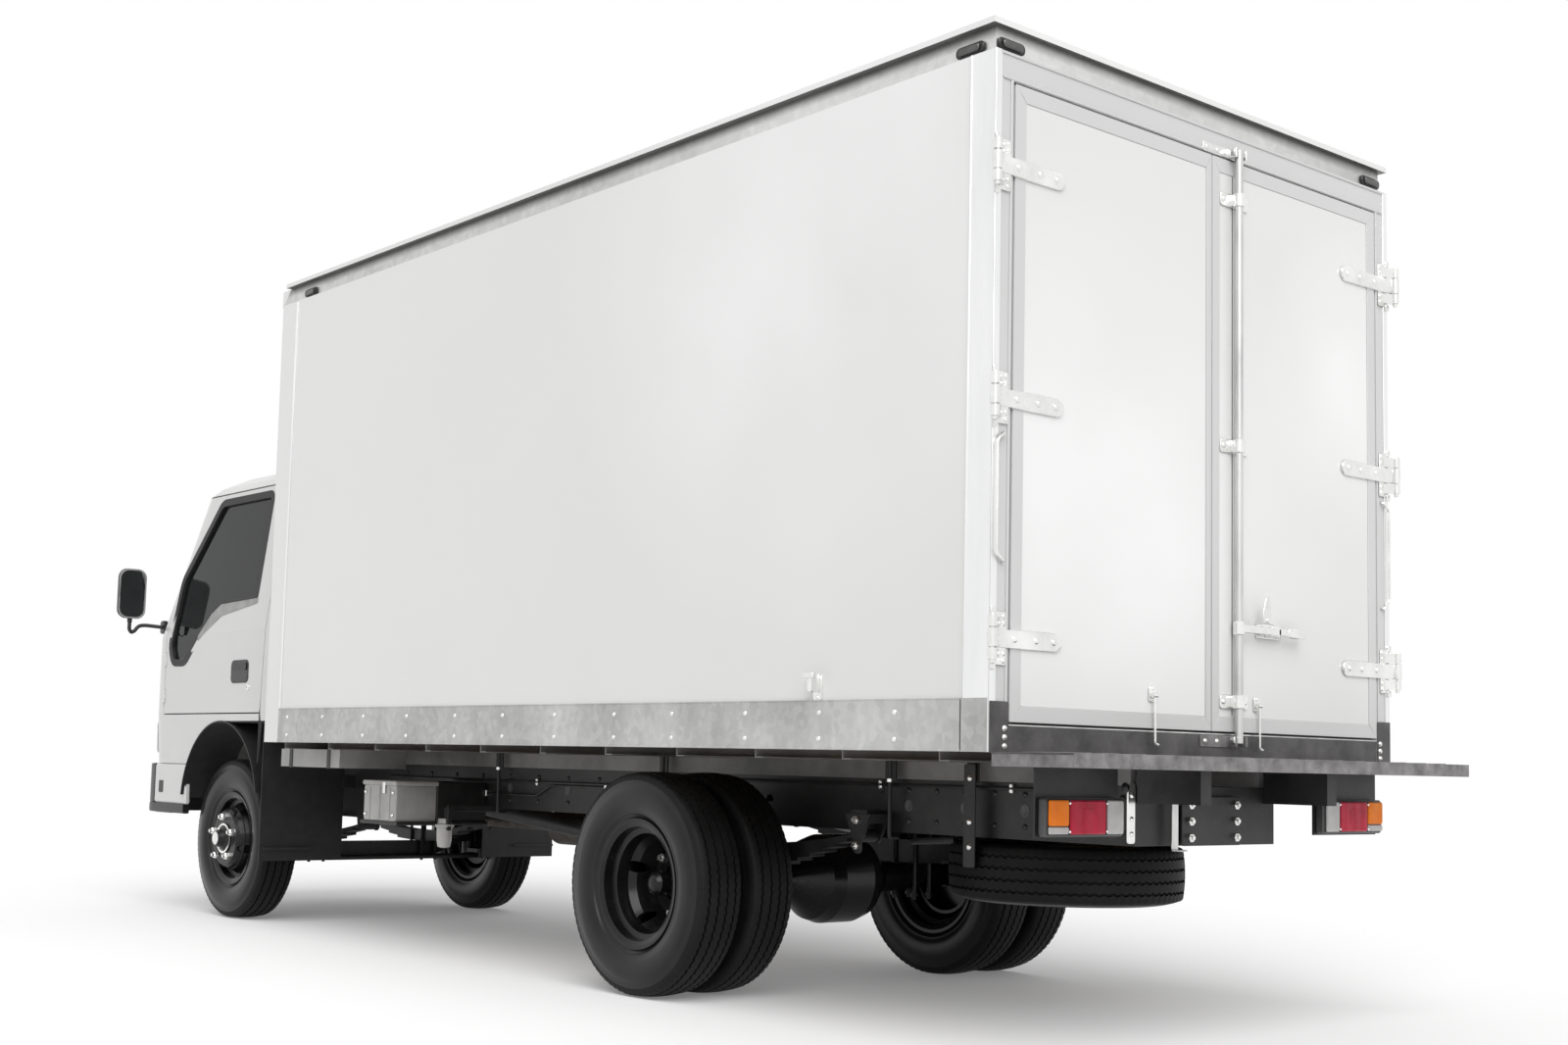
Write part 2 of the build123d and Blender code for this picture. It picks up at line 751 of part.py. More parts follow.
def plan_section(height, setback, half_width, radius, inset):
    """Plan outline of the cab at one height, offset inwards by the inset."""
    front = y_cab_face + setback + inset
    back = y_cab_back - inset
    with BuildSketch(Plane.XY.offset(height)) as section:
        with Locations((0, (front + back) / 2)):
            Rectangle(2 * (half_width - inset), back - front)
        fillet(section.vertices().group_by(Axis.Y)[0], max(radius - inset, 20))
        fillet(section.vertices().group_by(Axis.Y)[-1], max(60 - inset, 8))
    return section.sketch


def cab_hull(inset, drop, lift):
    """Closed cab volume: walls up to the eaves and the crowned roof above."""
    lower = [plan_section(*level, inset) for level in cab_levels]
    lower[0] = plan_section(cab_bottom - drop, *cab_levels[0][1:], inset)
    upper = [plan_section(height - lift, *rest, inset) for height, *rest in roof_levels]
    walls = loft(lower, ruled=True)
    crown = loft([plan_section(eaves_height - lift, *cab_levels[-1][1:], inset)] + upper[1:], ruled=True)
    return walls, crown


def prism_x(points, x_from, x_to):
    """Straight prism along X with the given (y, z) corners."""
    with BuildPart() as prism:
        with BuildSketch(side_plane(x_from)):
            with BuildLine():
                Polyline(*points, close=True)
            make_face()
        extrude(amount=x_to - x_from)
    return prism.part


door_front = y_front_axle - 680
door_rear_low = y_front_axle + 423
door_rear_high = y_front_axle + 505
door_top_edge = 2100
door_low_edge = crease_height
seam = 6


def door_outline(grow):
    """Side outline of the cab door, grown outwards by the given amount."""
    return (
        (door_front - grow, door_low_edge - grow),
        (door_rear_low + grow, door_low_edge - grow),
        (door_rear_high + grow, door_top_edge + grow),
        (y_cab_face + 520 - grow, door_top_edge + grow),
        (y_cab_face + 305 - grow, 1700),
        (door_front - grow, 1330),
    )


window_outline = (
    (y_front_axle + 313, 1545),
    (y_front_axle - 74, 1533),
    (y_front_axle - 160, 1494),
    (y_front_axle - 450, 1258),
    (y_front_axle - 595, 1262),
    (y_front_axle - 635, 1339),
    (y_front_axle - 563, 1686),
    (y_front_axle - 203, 2060),
    (y_front_axle + 360, 2060),
)

hull_walls, hull_crown = cab_hull(0, 0, 0)
hole_walls, hole_crown = cab_hull(cab_wall, 60, 40)
with BuildPart() as cab_skin:
    add(hull_walls)
    add(hull_crown)
    add(hole_walls, mode=Mode.SUBTRACT)
    add(hole_crown, mode=Mode.SUBTRACT)

glass_outer = cab_hull(14, 60, 40)[0]
glass_inner = cab_hull(19, 120, 40)[0]
with BuildPart() as glass_skin:
    add(glass_outer)
    add(glass_inner, mode=Mode.SUBTRACT)

x_door_hinge = cab_half_width + 1
y_door_hinge = door_front - seam / 2
door_hinge_levels = (1090, 1280)
knuckle_half = 12
lug_reach = 34


def barrel(hand, radius, low, high):
    """Cylinder on a cab door's hinge line between two heights."""
    with BuildPart() as pin:
        with BuildSketch(Plane.XY.offset(low)):
            with Locations((hand * x_door_hinge, y_door_hinge)):
                Circle(radius)
        extrude(amount=high - low)
    return pin.part


doorways = {}
windows = {}
for side, hand in SIDES:
    x_near, x_far = sorted((hand * 560, hand * 900))
    doorways[side] = prism_x(door_outline(seam), x_near, x_far)
    with BuildPart() as cab_door:
        add(cab_skin.part)
        add(prism_x(door_outline(0), x_near, x_far), mode=Mode.INTERSECT)
        add(prism_x(window_outline, x_near, x_far), mode=Mode.SUBTRACT)
        for level in door_hinge_levels:
            add(barrel(hand, 11, level - lug_reach - 2, level + lug_reach + 2), mode=Mode.SUBTRACT)
            add(barrel(hand, 9, level - knuckle_half, level + knuckle_half))
            with Locations((hand * (x_door_hinge - 8), y_door_hinge + 12, level)):
                Box(14, 20, 2 * knuckle_half)
            add(barrel(hand, 3.5, level - knuckle_half, level + knuckle_half), mode=Mode.SUBTRACT)
    cab_door.part.label = f"cab_door_{side}"
    export_step(cab_door.part, f"parts/cab_door_{side}.step")

    with BuildPart() as door_glass:
        add(glass_skin.part)
        add(prism_x(window_outline, x_near, x_far), mode=Mode.INTERSECT)
    door_glass.part.label = f"door_glass_{side}"
    export_step(door_glass.part, f"parts/door_glass_{side}.step")

screen_low = waist_height + 25
screen_high = eaves_height - 50
with BuildPart() as screen_prism:
    with BuildSketch(front_plane(y_cab_face + 640)):
        with BuildLine():
            Polyline(
                (-700, screen_low),
                (700, screen_low),
                (655, screen_high),
                (-655, screen_high),
                close=True,
            )
        make_face()
    extrude(amount=700)

with BuildPart() as rear_screen_prism:
    with BuildSketch(front_plane(y_cab_back + 50)):
        with Locations((0, 1740)):
            RectangleRounded(1000, 380, 60)
    extrude(amount=120)

with BuildPart() as cab_glass:
    add(glass_skin.part)
    add(screen_prism.part, mode=Mode.INTERSECT)
with BuildPart() as rear_glass:
    add(glass_skin.part)
    add(rear_screen_prism.part, mode=Mode.INTERSECT)
cab_glass.part.label = "windscreen"
export_step(cab_glass.part, "parts/windscreen.step")
rear_glass.part.label = "cab_rear_window"
export_step(rear_glass.part, "parts/cab_rear_window.step")

with BuildPart() as cab_floor_plate:
    with Locations((0, y_cab_face + 850, cab_floor + floor_sheet / 2)):
        Box(1500, 1630, floor_sheet)
    with Locations((0, (y_front_axle - 420 + y_cab_back) / 2, (cab_floor + tunnel_top) / 2)):
        Box(2 * tunnel_half_width, y_cab_back - y_front_axle + 420, tunnel_top - cab_floor)
    with Locations((0, (y_front_axle - 420 + y_cab_back) / 2 + 100, (cab_floor + tunnel_top) / 2 - floor_sheet)):
        Box(
            2 * (tunnel_half_width - floor_sheet),
            y_cab_back - y_front_axle + 420 - 2 * floor_sheet + 200,
            tunnel_top - cab_floor,
            mode=Mode.SUBTRACT,
        )

with BuildPart() as cab_shell:
    add(cab_skin.part)
    for prism in doorways.values():
        add(prism, mode=Mode.SUBTRACT)
    add(screen_prism.part, mode=Mode.SUBTRACT)
    add(rear_screen_prism.part, mode=Mode.SUBTRACT)
    add(cab_floor_plate.part)
    with Locations((0, (y_front_axle - 420 + y_cab_back) / 2 + 100, 1000)):
        Box(
            2 * (tunnel_half_width - floor_sheet),
            y_cab_back - y_front_axle + 420 - 2 * floor_sheet + 200,
            2 * (tunnel_top - floor_sheet - 1000),
            mode=Mode.SUBTRACT,
        )
    with Locations((0, y_front_axle + 1200, axle_height)):
        Box(3000, 2400, 2 * (960 - axle_height), mode=Mode.SUBTRACT)
    with Locations(Location((0, y_front_axle, arch_centre_height), (0, 90, 0))):
        Cylinder(arch_radius, 3000, mode=Mode.SUBTRACT)
    for hand in (1, -1):
        for level in door_hinge_levels:
            add(barrel(hand, 11, level - lug_reach - 2, level + lug_reach + 2), mode=Mode.SUBTRACT)
            for low in (level - lug_reach, level + knuckle_half + 0.5):
                add(barrel(hand, 9, low, low + lug_reach - knuckle_half - 0.5))
                with Locations((hand * (x_door_hinge - 8), y_door_hinge - 12, low + (lug_reach - knuckle_half) / 2)):
                    Box(14, 20, lug_reach - knuckle_half - 0.5)
            add(barrel(hand, 3, level - lug_reach, level + lug_reach))
        with BuildSketch(side_plane(hand * (x_tilt_lug + 40) - 12)):
            with BuildLine():
                Polyline(
                    (y_tilt, tilt_height),
                    (y_tilt + 20, tilt_height),
                    (y_tilt + 160, cab_floor + 4),
                    (y_tilt + 70, cab_floor + 4),
                    close=True,
                )
            make_face()
            with Locations((y_tilt, tilt_height)):
                Circle(22)
                Circle(11.5, mode=Mode.SUBTRACT)
        extrude(amount=24)
cab_shell.part.label = "cab_shell"
export_step(cab_shell.part, "parts/cab_shell.step")

x_driver = 430
y_seat = y_cab_back - 420
with BuildPart() as seats:
    for x_seat, width in ((x_driver, 480), (-380, 620)):
        with Locations((x_seat, y_seat, tunnel_top + 0.3 + 65)):
            Box(width, 470, 130)
        with Locations(Location((x_seat, y_cab_back - 150, 1600), (-10, 0, 0))):
            Box(width, 110, 560)
seats.part.label = "seats"
export_step(seats.part, "parts/seats.step")

with BuildPart() as dashboard:
    add(cab_hull(cab_wall + seat_gap, 60, 40)[0])
    add(
        prism_x(
            (
                (y_cab_face, 1090),
                (y_cab_face + 330, 1120),
                (y_cab_face + 430, 1260),
                (y_cab_face + 400, 1400),
                (y_cab_face + 120, 1440),
                (y_cab_face, 1420),
            ),
            -780,
            780,
        ),
        mode=Mode.INTERSECT,
    )
dashboard.part.label = "dashboard"
export_step(dashboard.part, "parts/dashboard.step")

wheel_tilt = 40
wheel_centre = (x_driver, y_cab_face + 560, 1480)
steering_plane = Plane(origin=wheel_centre, x_dir=(1, 0, 0), z_dir=(0, sin(radians(wheel_tilt)), cos(radians(wheel_tilt))))
with BuildPart() as steering_wheel:
    with BuildSketch(Plane(origin=steering_plane.origin, x_dir=steering_plane.x_dir, z_dir=steering_plane.y_dir)):
        with Locations((200, 0)):
            Circle(15)
    revolve(axis=Axis(wheel_centre, tuple(steering_plane.z_dir)))
    with BuildSketch(steering_plane.offset(-10)):
        Circle(55)
        for angle in (0, 120, 240):
            with Locations(Location((0, 0, 0), (0, 0, angle + 90))):
                Rectangle(195, 34, align=(Align.MIN, Align.CENTER))
    extrude(amount=20)
steering_wheel.part.label = "steering_wheel"
export_step(steering_wheel.part, "parts/steering_wheel.step")

with BuildPart() as steering_column:
    with BuildSketch(steering_plane.offset(-10 - seat_gap)):
        Circle(34)
    extrude(amount=-270)
    add(dashboard.part, mode=Mode.SUBTRACT)
steering_column.part.label = "steering_column"
export_step(steering_column.part, "parts/steering_column.step")

with BuildPart() as mirrors:
    for hand in (1, -1):
        with Locations((hand * 989, y_front_axle - 850, 1628)):
            Box(150, 60, 260)
        with Locations((hand * 880, y_front_axle - 850, 1420)):
            Box(240, 18, 18)
        with Locations((hand * 989, y_front_axle - 850, 1460)):
            Box(18, 18, 90)
    add(hull_walls, mode=Mode.SUBTRACT)
mirrors.part.label = "mirrors"
export_step(mirrors.part, "parts/mirrors.step")

lamp_skin = cab_hull(-22, 60, 40)[0] - cab_hull(-0.3, 120, 40)[0]
with BuildPart() as headlamps:
    add(lamp_skin)
    with BuildSketch(front_plane(y_cab_face + 230)):
        with Locations((-660, 880), (660, 880)):
            RectangleRounded(250, 170, 25)
    extrude(amount=400, mode=Mode.INTERSECT)
headlamps.part.label = "headlamps"
export_step(headlamps.part, "parts/headlamps.step")

with BuildPart() as grille:
    add(lamp_skin)
    with BuildSketch(front_plane(y_cab_face + 230)):
        with Locations((0, 890)):
            RectangleRounded(1000, 150, 20)
    extrude(amount=400, mode=Mode.INTERSECT)
grille.part.label = "grille"
export_step(grille.part, "parts/grille.step")

bumper_reach = front_overhang - arch_radius - 5


def wrap_section(half_width, front, reach, radius, thickness):
    """Plan section of a strip that wraps round both front corners."""
    with BuildSketch() as section:
        for inset, mode in ((0, Mode.ADD), (thickness, Mode.SUBTRACT)):
            with BuildSketch(mode=Mode.PRIVATE) as outline:
                with Locations((0, front + inset)):
                    Rectangle(2 * (half_width - inset), reach, align=(Align.CENTER, Align.MIN))
                fillet(outline.vertices().group_by(Axis.Y)[0], radius - inset)
            add(outline.sketch, mode=mode)
    return section.sketch


bumper_bottom = 560
bumper_top = 730
valance_bottom = 490
with BuildPart() as front_bumper:
    with BuildSketch(Plane.XY.offset(bumper_bottom)):
        add(wrap_section(838, y_front, bumper_reach, 290, 30))
        with Locations((0, y_front + bumper_reach + 100)):
            Rectangle(2000, 200, mode=Mode.SUBTRACT)
    extrude(amount=bumper_top - bumper_bottom)
front_bumper.part.label = "front_bumper"
export_step(front_bumper.part, "parts/front_bumper.step")

with BuildPart() as bumper_valance:
    with BuildSketch(Plane.XY.offset(valance_bottom)):
        add(wrap_section(815, y_front + 5, 420, 275, 30))
        with Locations((0, y_front + 420 + 100)):
            Rectangle(2000, 200, mode=Mode.SUBTRACT)
    extrude(amount=bumper_bottom - valance_bottom)
bumper_valance.part.label = "bumper_valance"
export_step(bumper_valance.part, "parts/bumper_valance.step")

# ---------------------------------------------------------------------------
# Power train, tanks and spare wheel
# ---------------------------------------------------------------------------

with BuildPart() as engine:
    with Locations((0, y_front_axle + 40, 800)):
        Box(480, 760, 600)
    with Locations((0, y_front_axle + 640, 680)):
        Box(260, 440, 300)
    for hand in (1, -1):
        with Locations((hand * (240 + frame_half_width - rail_wall - seat_gap) / 2, y_front_axle + 40, 680)):
            Box(frame_half_width - rail_wall - seat_gap - 240, 80, 60)
engine.part.label = "engine"
export_step(engine.part, "parts/engine.step")

y_gearbox = y_front_axle + 860
with BuildPart() as propshaft:
    with BuildSketch(front_plane(y_rear_axle - 280.3, 0, axle_height)):
        Circle(42)
    with BuildSketch(front_plane(y_gearbox + seat_gap, 0, 600)):
        Circle(42)
    loft()
propshaft.part.label = "propshaft"
export_step(propshaft.part, "parts/propshaft.step")

with BuildPart() as exhaust:
    with Locations(Location((-205, -500, 500), (90, 0, 0))):
        Cylinder(85, 640)
    with Locations(Location((-205, -1150, 500), (90, 0, 0))):
        Cylinder(26, 700)
    with Locations(Location((-205, 60, 500), (90, 0, 0))):
        Cylinder(26, 500)
    with Locations((-205, -380 + 25, 620.8)):
        Box(30, 30, 72)
exhaust.part.label = "exhaust"
export_step(exhaust.part, "parts/exhaust.step")

with BuildPart() as mudguards:
    for hand in (1, -1):
        with Locations((hand * 615, y_front_axle + 455, 620)):
            Box(430, 6, 640)
        with Locations((hand * (frame_half_width + 0.3 + 30), y_front_axle + 468, 680)):
            Box(60, 20, 60)
mudguards.part.label = "mudguards"
export_step(mudguards.part, "parts/mudguards.step")

with BuildPart() as air_box:
    with Locations((700, y_front_axle + 1000, bearer_bottom - 0.3 - 40)):
        Box(330, 560, 80)
air_box.part.label = "air_box"
export_step(air_box.part, "parts/air_box.step")

with BuildPart() as battery_box:
    with Locations((640, y_front_axle + 1530, 615)):
        Box(330, 300, 190)
    with Locations((frame_half_width + 0.3 + 65, y_front_axle + 1530, 690)):
        Box(130, 240, 40)
battery_box.part.label = "battery_box"
export_step(battery_box.part, "parts/battery_box.step")

with BuildPart() as fuel_tank:
    with Locations((-620, -500, 560)):
        Box(380, 900, 330)
    fillet(fuel_tank.edges().filter_by(Axis.Y), 60)
    for y_strap in (-750, -250):
        with Locations((-frame_half_width - 0.3 - 50, y_strap, 640)):
            Box(100, 60, 60)
fuel_tank.part.label = "fuel_tank"
export_step(fuel_tank.part, "parts/fuel_tank.step")

y_spare = y_rear_axle + 1150
z_spare = frame_bottom + rail_wall - wheel_offset - 0.3
spare_plane = Plane(origin=(0, y_spare, z_spare), x_dir=(0, 0, 1), z_dir=(1, 0, 0))
spare_axis = Axis((0, y_spare, z_spare), (0, 0, 1))
with BuildPart() as spare_tyre:
    add(tyre_section(Plane(origin=(0, y_spare, z_spare), x_dir=(0, 0, -1), z_dir=(0, -1, 0))))
    revolve(axis=spare_axis)
spare_tyre.part.label = "spare_tyre"
export_step(spare_tyre.part, "parts/spare_tyre.step")
with BuildPart() as spare_wheel:
    add(rim_section(Plane(origin=(0, y_spare, z_spare), x_dir=(0, 0, -1), z_dir=(0, -1, 0)), -1))
    revolve(axis=spare_axis)
spare_wheel.part.label = "spare_wheel"
export_step(spare_wheel.part, "parts/spare_wheel.step")
with BuildPart() as spare_carrier:
    with Locations((0, y_spare, frame_bottom + rail_wall + 6)):
        Box(2 * (frame_half_width - rail_wall), 60, 12)
spare_carrier.part.label = "spare_carrier"
export_step(spare_carrier.part, "parts/spare_carrier.step")
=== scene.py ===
# %% [markdown]
# # A light box truck, dressed in Blender
#
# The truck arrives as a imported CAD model: every bracket, door and wheel already
# has its real size and sits on the body it moves with.  This lesson adds what
# the CAD leaves out: paint, galvanising, rubber, glass, and the small pieces
# such as bolts, rivets, seals and tyre tread.  Everything is in metres, with
# +Z up, the cab towards -Y and the left side towards +X.

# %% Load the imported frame
import math

import bpy
import numpy as np
from mathutils import Matrix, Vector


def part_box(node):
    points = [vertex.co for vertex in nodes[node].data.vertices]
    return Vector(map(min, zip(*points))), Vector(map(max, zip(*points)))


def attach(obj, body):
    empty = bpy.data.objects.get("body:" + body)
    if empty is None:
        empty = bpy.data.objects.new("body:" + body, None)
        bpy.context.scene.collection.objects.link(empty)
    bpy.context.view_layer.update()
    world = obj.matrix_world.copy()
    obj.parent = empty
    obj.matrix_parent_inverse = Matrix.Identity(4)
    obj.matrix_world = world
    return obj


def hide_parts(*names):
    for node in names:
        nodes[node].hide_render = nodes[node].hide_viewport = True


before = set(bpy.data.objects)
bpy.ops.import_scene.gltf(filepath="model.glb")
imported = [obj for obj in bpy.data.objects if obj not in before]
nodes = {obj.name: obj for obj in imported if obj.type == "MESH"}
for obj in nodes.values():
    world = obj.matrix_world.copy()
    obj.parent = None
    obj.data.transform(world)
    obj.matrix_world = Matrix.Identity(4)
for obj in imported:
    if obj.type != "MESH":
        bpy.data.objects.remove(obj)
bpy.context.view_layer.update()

# %% [markdown]
# ## Colour
#
# A hex colour is what a screen shows.  Blender's shaders work in linear light,
# so each hex value is turned to linear once, by the standard sRGB curve.


# %% Hex to linear colour
def linear(hex_colour):
    """Linear RGBA of an sRGB hex colour.

    Each channel c is c / 12.92 up to 0.04045 and ((c + 0.055) / 1.055) ** 2.4 above.
    """
    c = np.array([int(hex_colour[i:i + 2], 16) for i in (1, 3, 5)]) / 255
    channels = np.where(c <= 0.04045, c / 12.92, ((c + 0.055) / 1.055) ** 2.4)
    return (*channels.tolist(), 1.0)


print("mid grey", [round(v, 3) for v in linear("#808080")])

# %% [markdown]
# ## Building node trees
#
# A material is a tree of small nodes.  One helper adds a node, sets its options
# and fills or links its inputs, so that each material below reads as a list of
# what it is made of.


# %% One helper for nodes
def add(tree, kind, inputs=None, **options):
    """Add one node.  An input given as a socket is linked, any other value is set."""
    node = tree.nodes.new(kind)
    for name, value in options.items():
        setattr(node, name, value)
    for name, value in (inputs or {}).items():
        if isinstance(value, bpy.types.NodeSocket):
            tree.links.new(value, node.inputs[name])
        else:
            node.inputs[name].default_value = value
    return node


def start(name, **values):
    """A new material: its tree, its Principled shader and a position in metres."""
    material = bpy.data.materials.new(name)
    material.use_nodes = True
    tree = material.node_tree
    shader = tree.nodes["Principled BSDF"]
    for socket, value in values.items():
        shader.inputs[socket.replace("_", " ")].default_value = value
    place = add(tree, "ShaderNodeTexCoord").outputs["Object"]
    return material, tree, shader, place


def mottle(tree, place, patch_mm, low, high, detail=4.0, stretch=(1, 1, 1), narrow=0.2):
    """Soft cloudy values from low to high, with patches patch_mm across.

    Noise has about one patch per unit, so its scale is 1000 / patch_mm per metre.
    The values within narrow of the middle fill the range.
    """
    mapped = add(tree, "ShaderNodeMapping", {"Vector": place, "Scale": stretch})
    noise = add(tree, "ShaderNodeTexNoise", {
        "Vector": mapped.outputs["Vector"], "Scale": 1000 / patch_mm,
        "Detail": detail, "Roughness": 0.6})
    span = add(tree, "ShaderNodeMapRange", {
        "Value": noise.outputs["Fac"], "From Min": 0.5 - narrow, "From Max": 0.5 + narrow,
        "To Min": low, "To Max": high})
    return span.outputs["Result"]


def tint(tree, amount, dark, light):
    """Colour between two hex colours by a 0 to 1 amount; either may be a socket."""
    mixed = add(tree, "ShaderNodeMix", data_type="RGBA")
    for slot, colour in ((6, dark), (7, light)):
        if isinstance(colour, str):
            mixed.inputs[slot].default_value = linear(colour)
        else:
            tree.links.new(colour, mixed.inputs[slot])
    tree.links.new(amount, mixed.inputs[0])
    return mixed.outputs[2]


def relief(tree, shader, height, depth_mm):
    """Bump of a 0 to 1 height that stands depth_mm proud."""
    bump = add(tree, "ShaderNodeBump", {
        "Height": height, "Distance": depth_mm / 1000, "Strength": 1.0})
    tree.links.new(bump.outputs["Normal"], shader.inputs["Normal"])


def axis_of(tree, place, axis):
    """The x, y or z of a position."""
    return add(tree, "ShaderNodeSeparateXYZ", {"Vector": place}).outputs[axis]


def ramp_between(tree, value, low, high, to_low=0.0, to_high=1.0):
    """Value carried from low..high to to_low..to_high, clamped."""
    return add(tree, "ShaderNodeMapRange", {
        "Value": value, "From Min": low, "From Max": high,
        "To Min": to_low, "To Max": to_high}).outputs["Result"]


def times(tree, first, second):
    """Product of two values."""
    return add(tree, "ShaderNodeMath", {0: first, 1: second}, operation="MULTIPLY").outputs[0]


def sum_of(tree, first, second):
    """Sum of two values, kept between 0 and 1."""
    return add(tree, "ShaderNodeMath", {0: first, 1: second}, operation="ADD",
               use_clamp=True).outputs[0]


materials = {}
print("helpers ready")

# %% [markdown]
# ## The paints
#
# The cab is pressed steel with a sprayed acrylic enamel: a hard glossy white
# with a faint ripple, which gives soft broad reflections.  The box panels are
# plywood faced with a white gel coat.  Gel coat is poured on a polished bench,
# so it is glossy, but the plywood under it moves a little, and the panel mirrors
# the sky as soft clouds.  Sun and polish leave some places whiter, in patches
# with no edge.  A light road film settles low down.  All of it is one function
# with a few numbers, because the four white finishes differ only in those.


# %% White cab enamel and gel coated panels
film_gone_z, film_full_z = 1.6, 0.9
bleached_patch_mm = 700


def painted(name, clean, dusty, gloss, coat, ripple_mm, ripple_depth, dust_patch, bleached=()):
    """White paint: light dust in soft patches and a shallow ripple.

    Each bleached place is (centre, reach in metres, colour): a cloudy patch where sun and
    polish have left the gel coat whiter.
    """
    material, tree, shader, place = start(
        name, Roughness=gloss, Coat_Weight=coat, Coat_Roughness=0.06)
    film = mottle(tree, place, dust_patch, 0, 1)
    height = axis_of(tree, place, "Z")
    low_down = ramp_between(tree, height, film_gone_z, film_full_z, 0.35, 1.0)
    amount = times(tree, film, low_down)
    colour = tint(tree, amount, clean, dusty)
    for centre, reach, white in bleached:
        away = add(tree, "ShaderNodeVectorMath", {0: place, 1: centre}, operation="DISTANCE")
        near = ramp_between(tree, away.outputs["Value"], reach, 0.25 * reach)
        cloud = times(tree, near, mottle(tree, place, bleached_patch_mm, 0.15, 0.8, 1.5, narrow=0.35))
        colour = tint(tree, cloud, colour, white)
    tree.links.new(colour, shader.inputs["Base Color"])
    relief(tree, shader, mottle(tree, place, ripple_mm, 0, 1, 2.0), ripple_depth)
    return material


materials["cab enamel"] = painted(
    "acrylic enamel on pressed steel", "#d2d2d1", "#c9c9c8", 0.28, 0.4, 120, 0.06, 700)
materials["gel coat"] = painted(
    "gel coated plywood panel", "#e3e3e2", "#dfdfde", 0.3, 0.3, 420, 0.5, 900,
    [((1.0, 2.3, 2.6), 1.5, "#fbfbfb"), ((-1.0, 1.4, 2.4), 1.3, "#f6f6f6")])
materials["door gel coat"] = painted(
    "gel coated door panel", "#e1e1e0", "#dcdcdb", 0.22, 0.5, 480, 1.1, 800,
    [((0.5, 3.0, 1.45), 1.25, "#f7f7f7"), ((-0.85, 3.0, 2.15), 0.6, "#f9f9f9")])
materials["door edge"] = painted(
    "extruded door edging in light grey enamel", "#d0d0d0", "#c8c8c7", 0.35, 0.2, 200, 0.2, 500)
print("paints", list(materials))

# %% [markdown]
# ## Zinc and aluminium
#
# The side rails are dip galvanised: zinc freezes in feathery crystals, then
# weathers in dull patches and vertical streaks.  The corner posts are drawn
# aluminium, and hinges, bolts and the lock bar are zinc plated steel, which
# stays bright.  Metal has no colour of its own under its reflection, so the
# base colour is the colour of the reflection.  The zinc band under the roof
# lies in the shadow of the roof's edge, so its colour is tinted darker with
# height: a painted shade.


# %% Galvanised steel, plated steel and drawn aluminium
def metal(name, dark, light, rough_low, rough_high, patch, stretch=(1, 1, 1), crystals_mm=0):
    """Bare metal whose brightness and roughness change together in patches."""
    material, tree, shader, place = start(name, Metallic=1.0)
    cloud = mottle(tree, place, patch, 0, 1, 6.0, stretch)
    if crystals_mm:
        grain = add(tree, "ShaderNodeTexVoronoi", {"Vector": place, "Scale": 1000 / crystals_mm})
        flake = axis_of(tree, grain.outputs["Color"], "X")
        sparse = ramp_between(tree, flake, 0.2, 1.0, -0.10, 0.16)
        cloud = sum_of(tree, cloud, sparse)
    tree.links.new(tint(tree, cloud, dark, light), shader.inputs["Base Color"])
    roughness = ramp_between(tree, cloud, 0, 1, rough_high, rough_low)
    tree.links.new(roughness, shader.inputs["Roughness"])
    relief(tree, shader, mottle(tree, place, patch / 9, 0, 1, 3.0), 0.06)
    return material


def paint_shade_upwards(material, z_from, z_full, dark, most):
    """Tint a finish darker from one height up to another, by most at the top."""
    tree = material.node_tree
    shader = tree.nodes["Principled BSDF"]
    zinc = shader.inputs["Base Color"].links[0].from_socket
    place = add(tree, "ShaderNodeTexCoord").outputs["Object"]
    shade = ramp_between(tree, axis_of(tree, place, "Z"), z_from, z_full, 0.0, most)
    tree.links.new(tint(tree, shade, zinc, dark), shader.inputs["Base Color"])


materials["galvanised"] = metal(
    "hot dip galvanised steel", "#a9a9a8", "#cfcfce", 0.38, 0.52, 420, (1, 1, 0.7), 24)
materials["band steel"] = metal(
    "weathered galvanised flashing", "#c6c6c5", "#e4e4e3", 0.4, 0.55, 300, (0.25, 0.25, 1), 30)
# Painted shade: the band is tinted darker up towards the roof's edge, whose shadow falls on it.
paint_shade_upwards(materials["band steel"], 2.905, 2.938, "#5c5c5b", 0.75)
materials["plated"] = metal("zinc plated steel", "#dededc", "#f6f6f4", 0.18, 0.3, 120)
materials["aluminium"] = metal(
    "drawn aluminium", "#e6e7e7", "#fafafa", 0.22, 0.36, 160, (1, 1, 0.12))
materials["bar steel"] = metal(
    "weathered plated tube", "#bababa", "#e2e2e0", 0.25, 0.42, 90, (1, 1, 0.3))
materials["mirror glass"] = metal("silvered mirror glass", "#6e7172", "#8c8f90", 0.02, 0.05, 400)
print("metals", list(materials)[4:])

# %% [markdown]
# ## Underneath
#
# Frame, axles and springs are brushed with black chassis paint, which road dust
# turns to a dull grey on whatever faces up.  The other dark finishes, plastic,
# rubber, cloth and varnished wood, differ from it in colour, shine and grit.
# Dust is drawn by the surface's own direction: what looks up keeps more of it.
# One table with a row for each finish is then easier to compare and change
# than fourteen separate node trees.


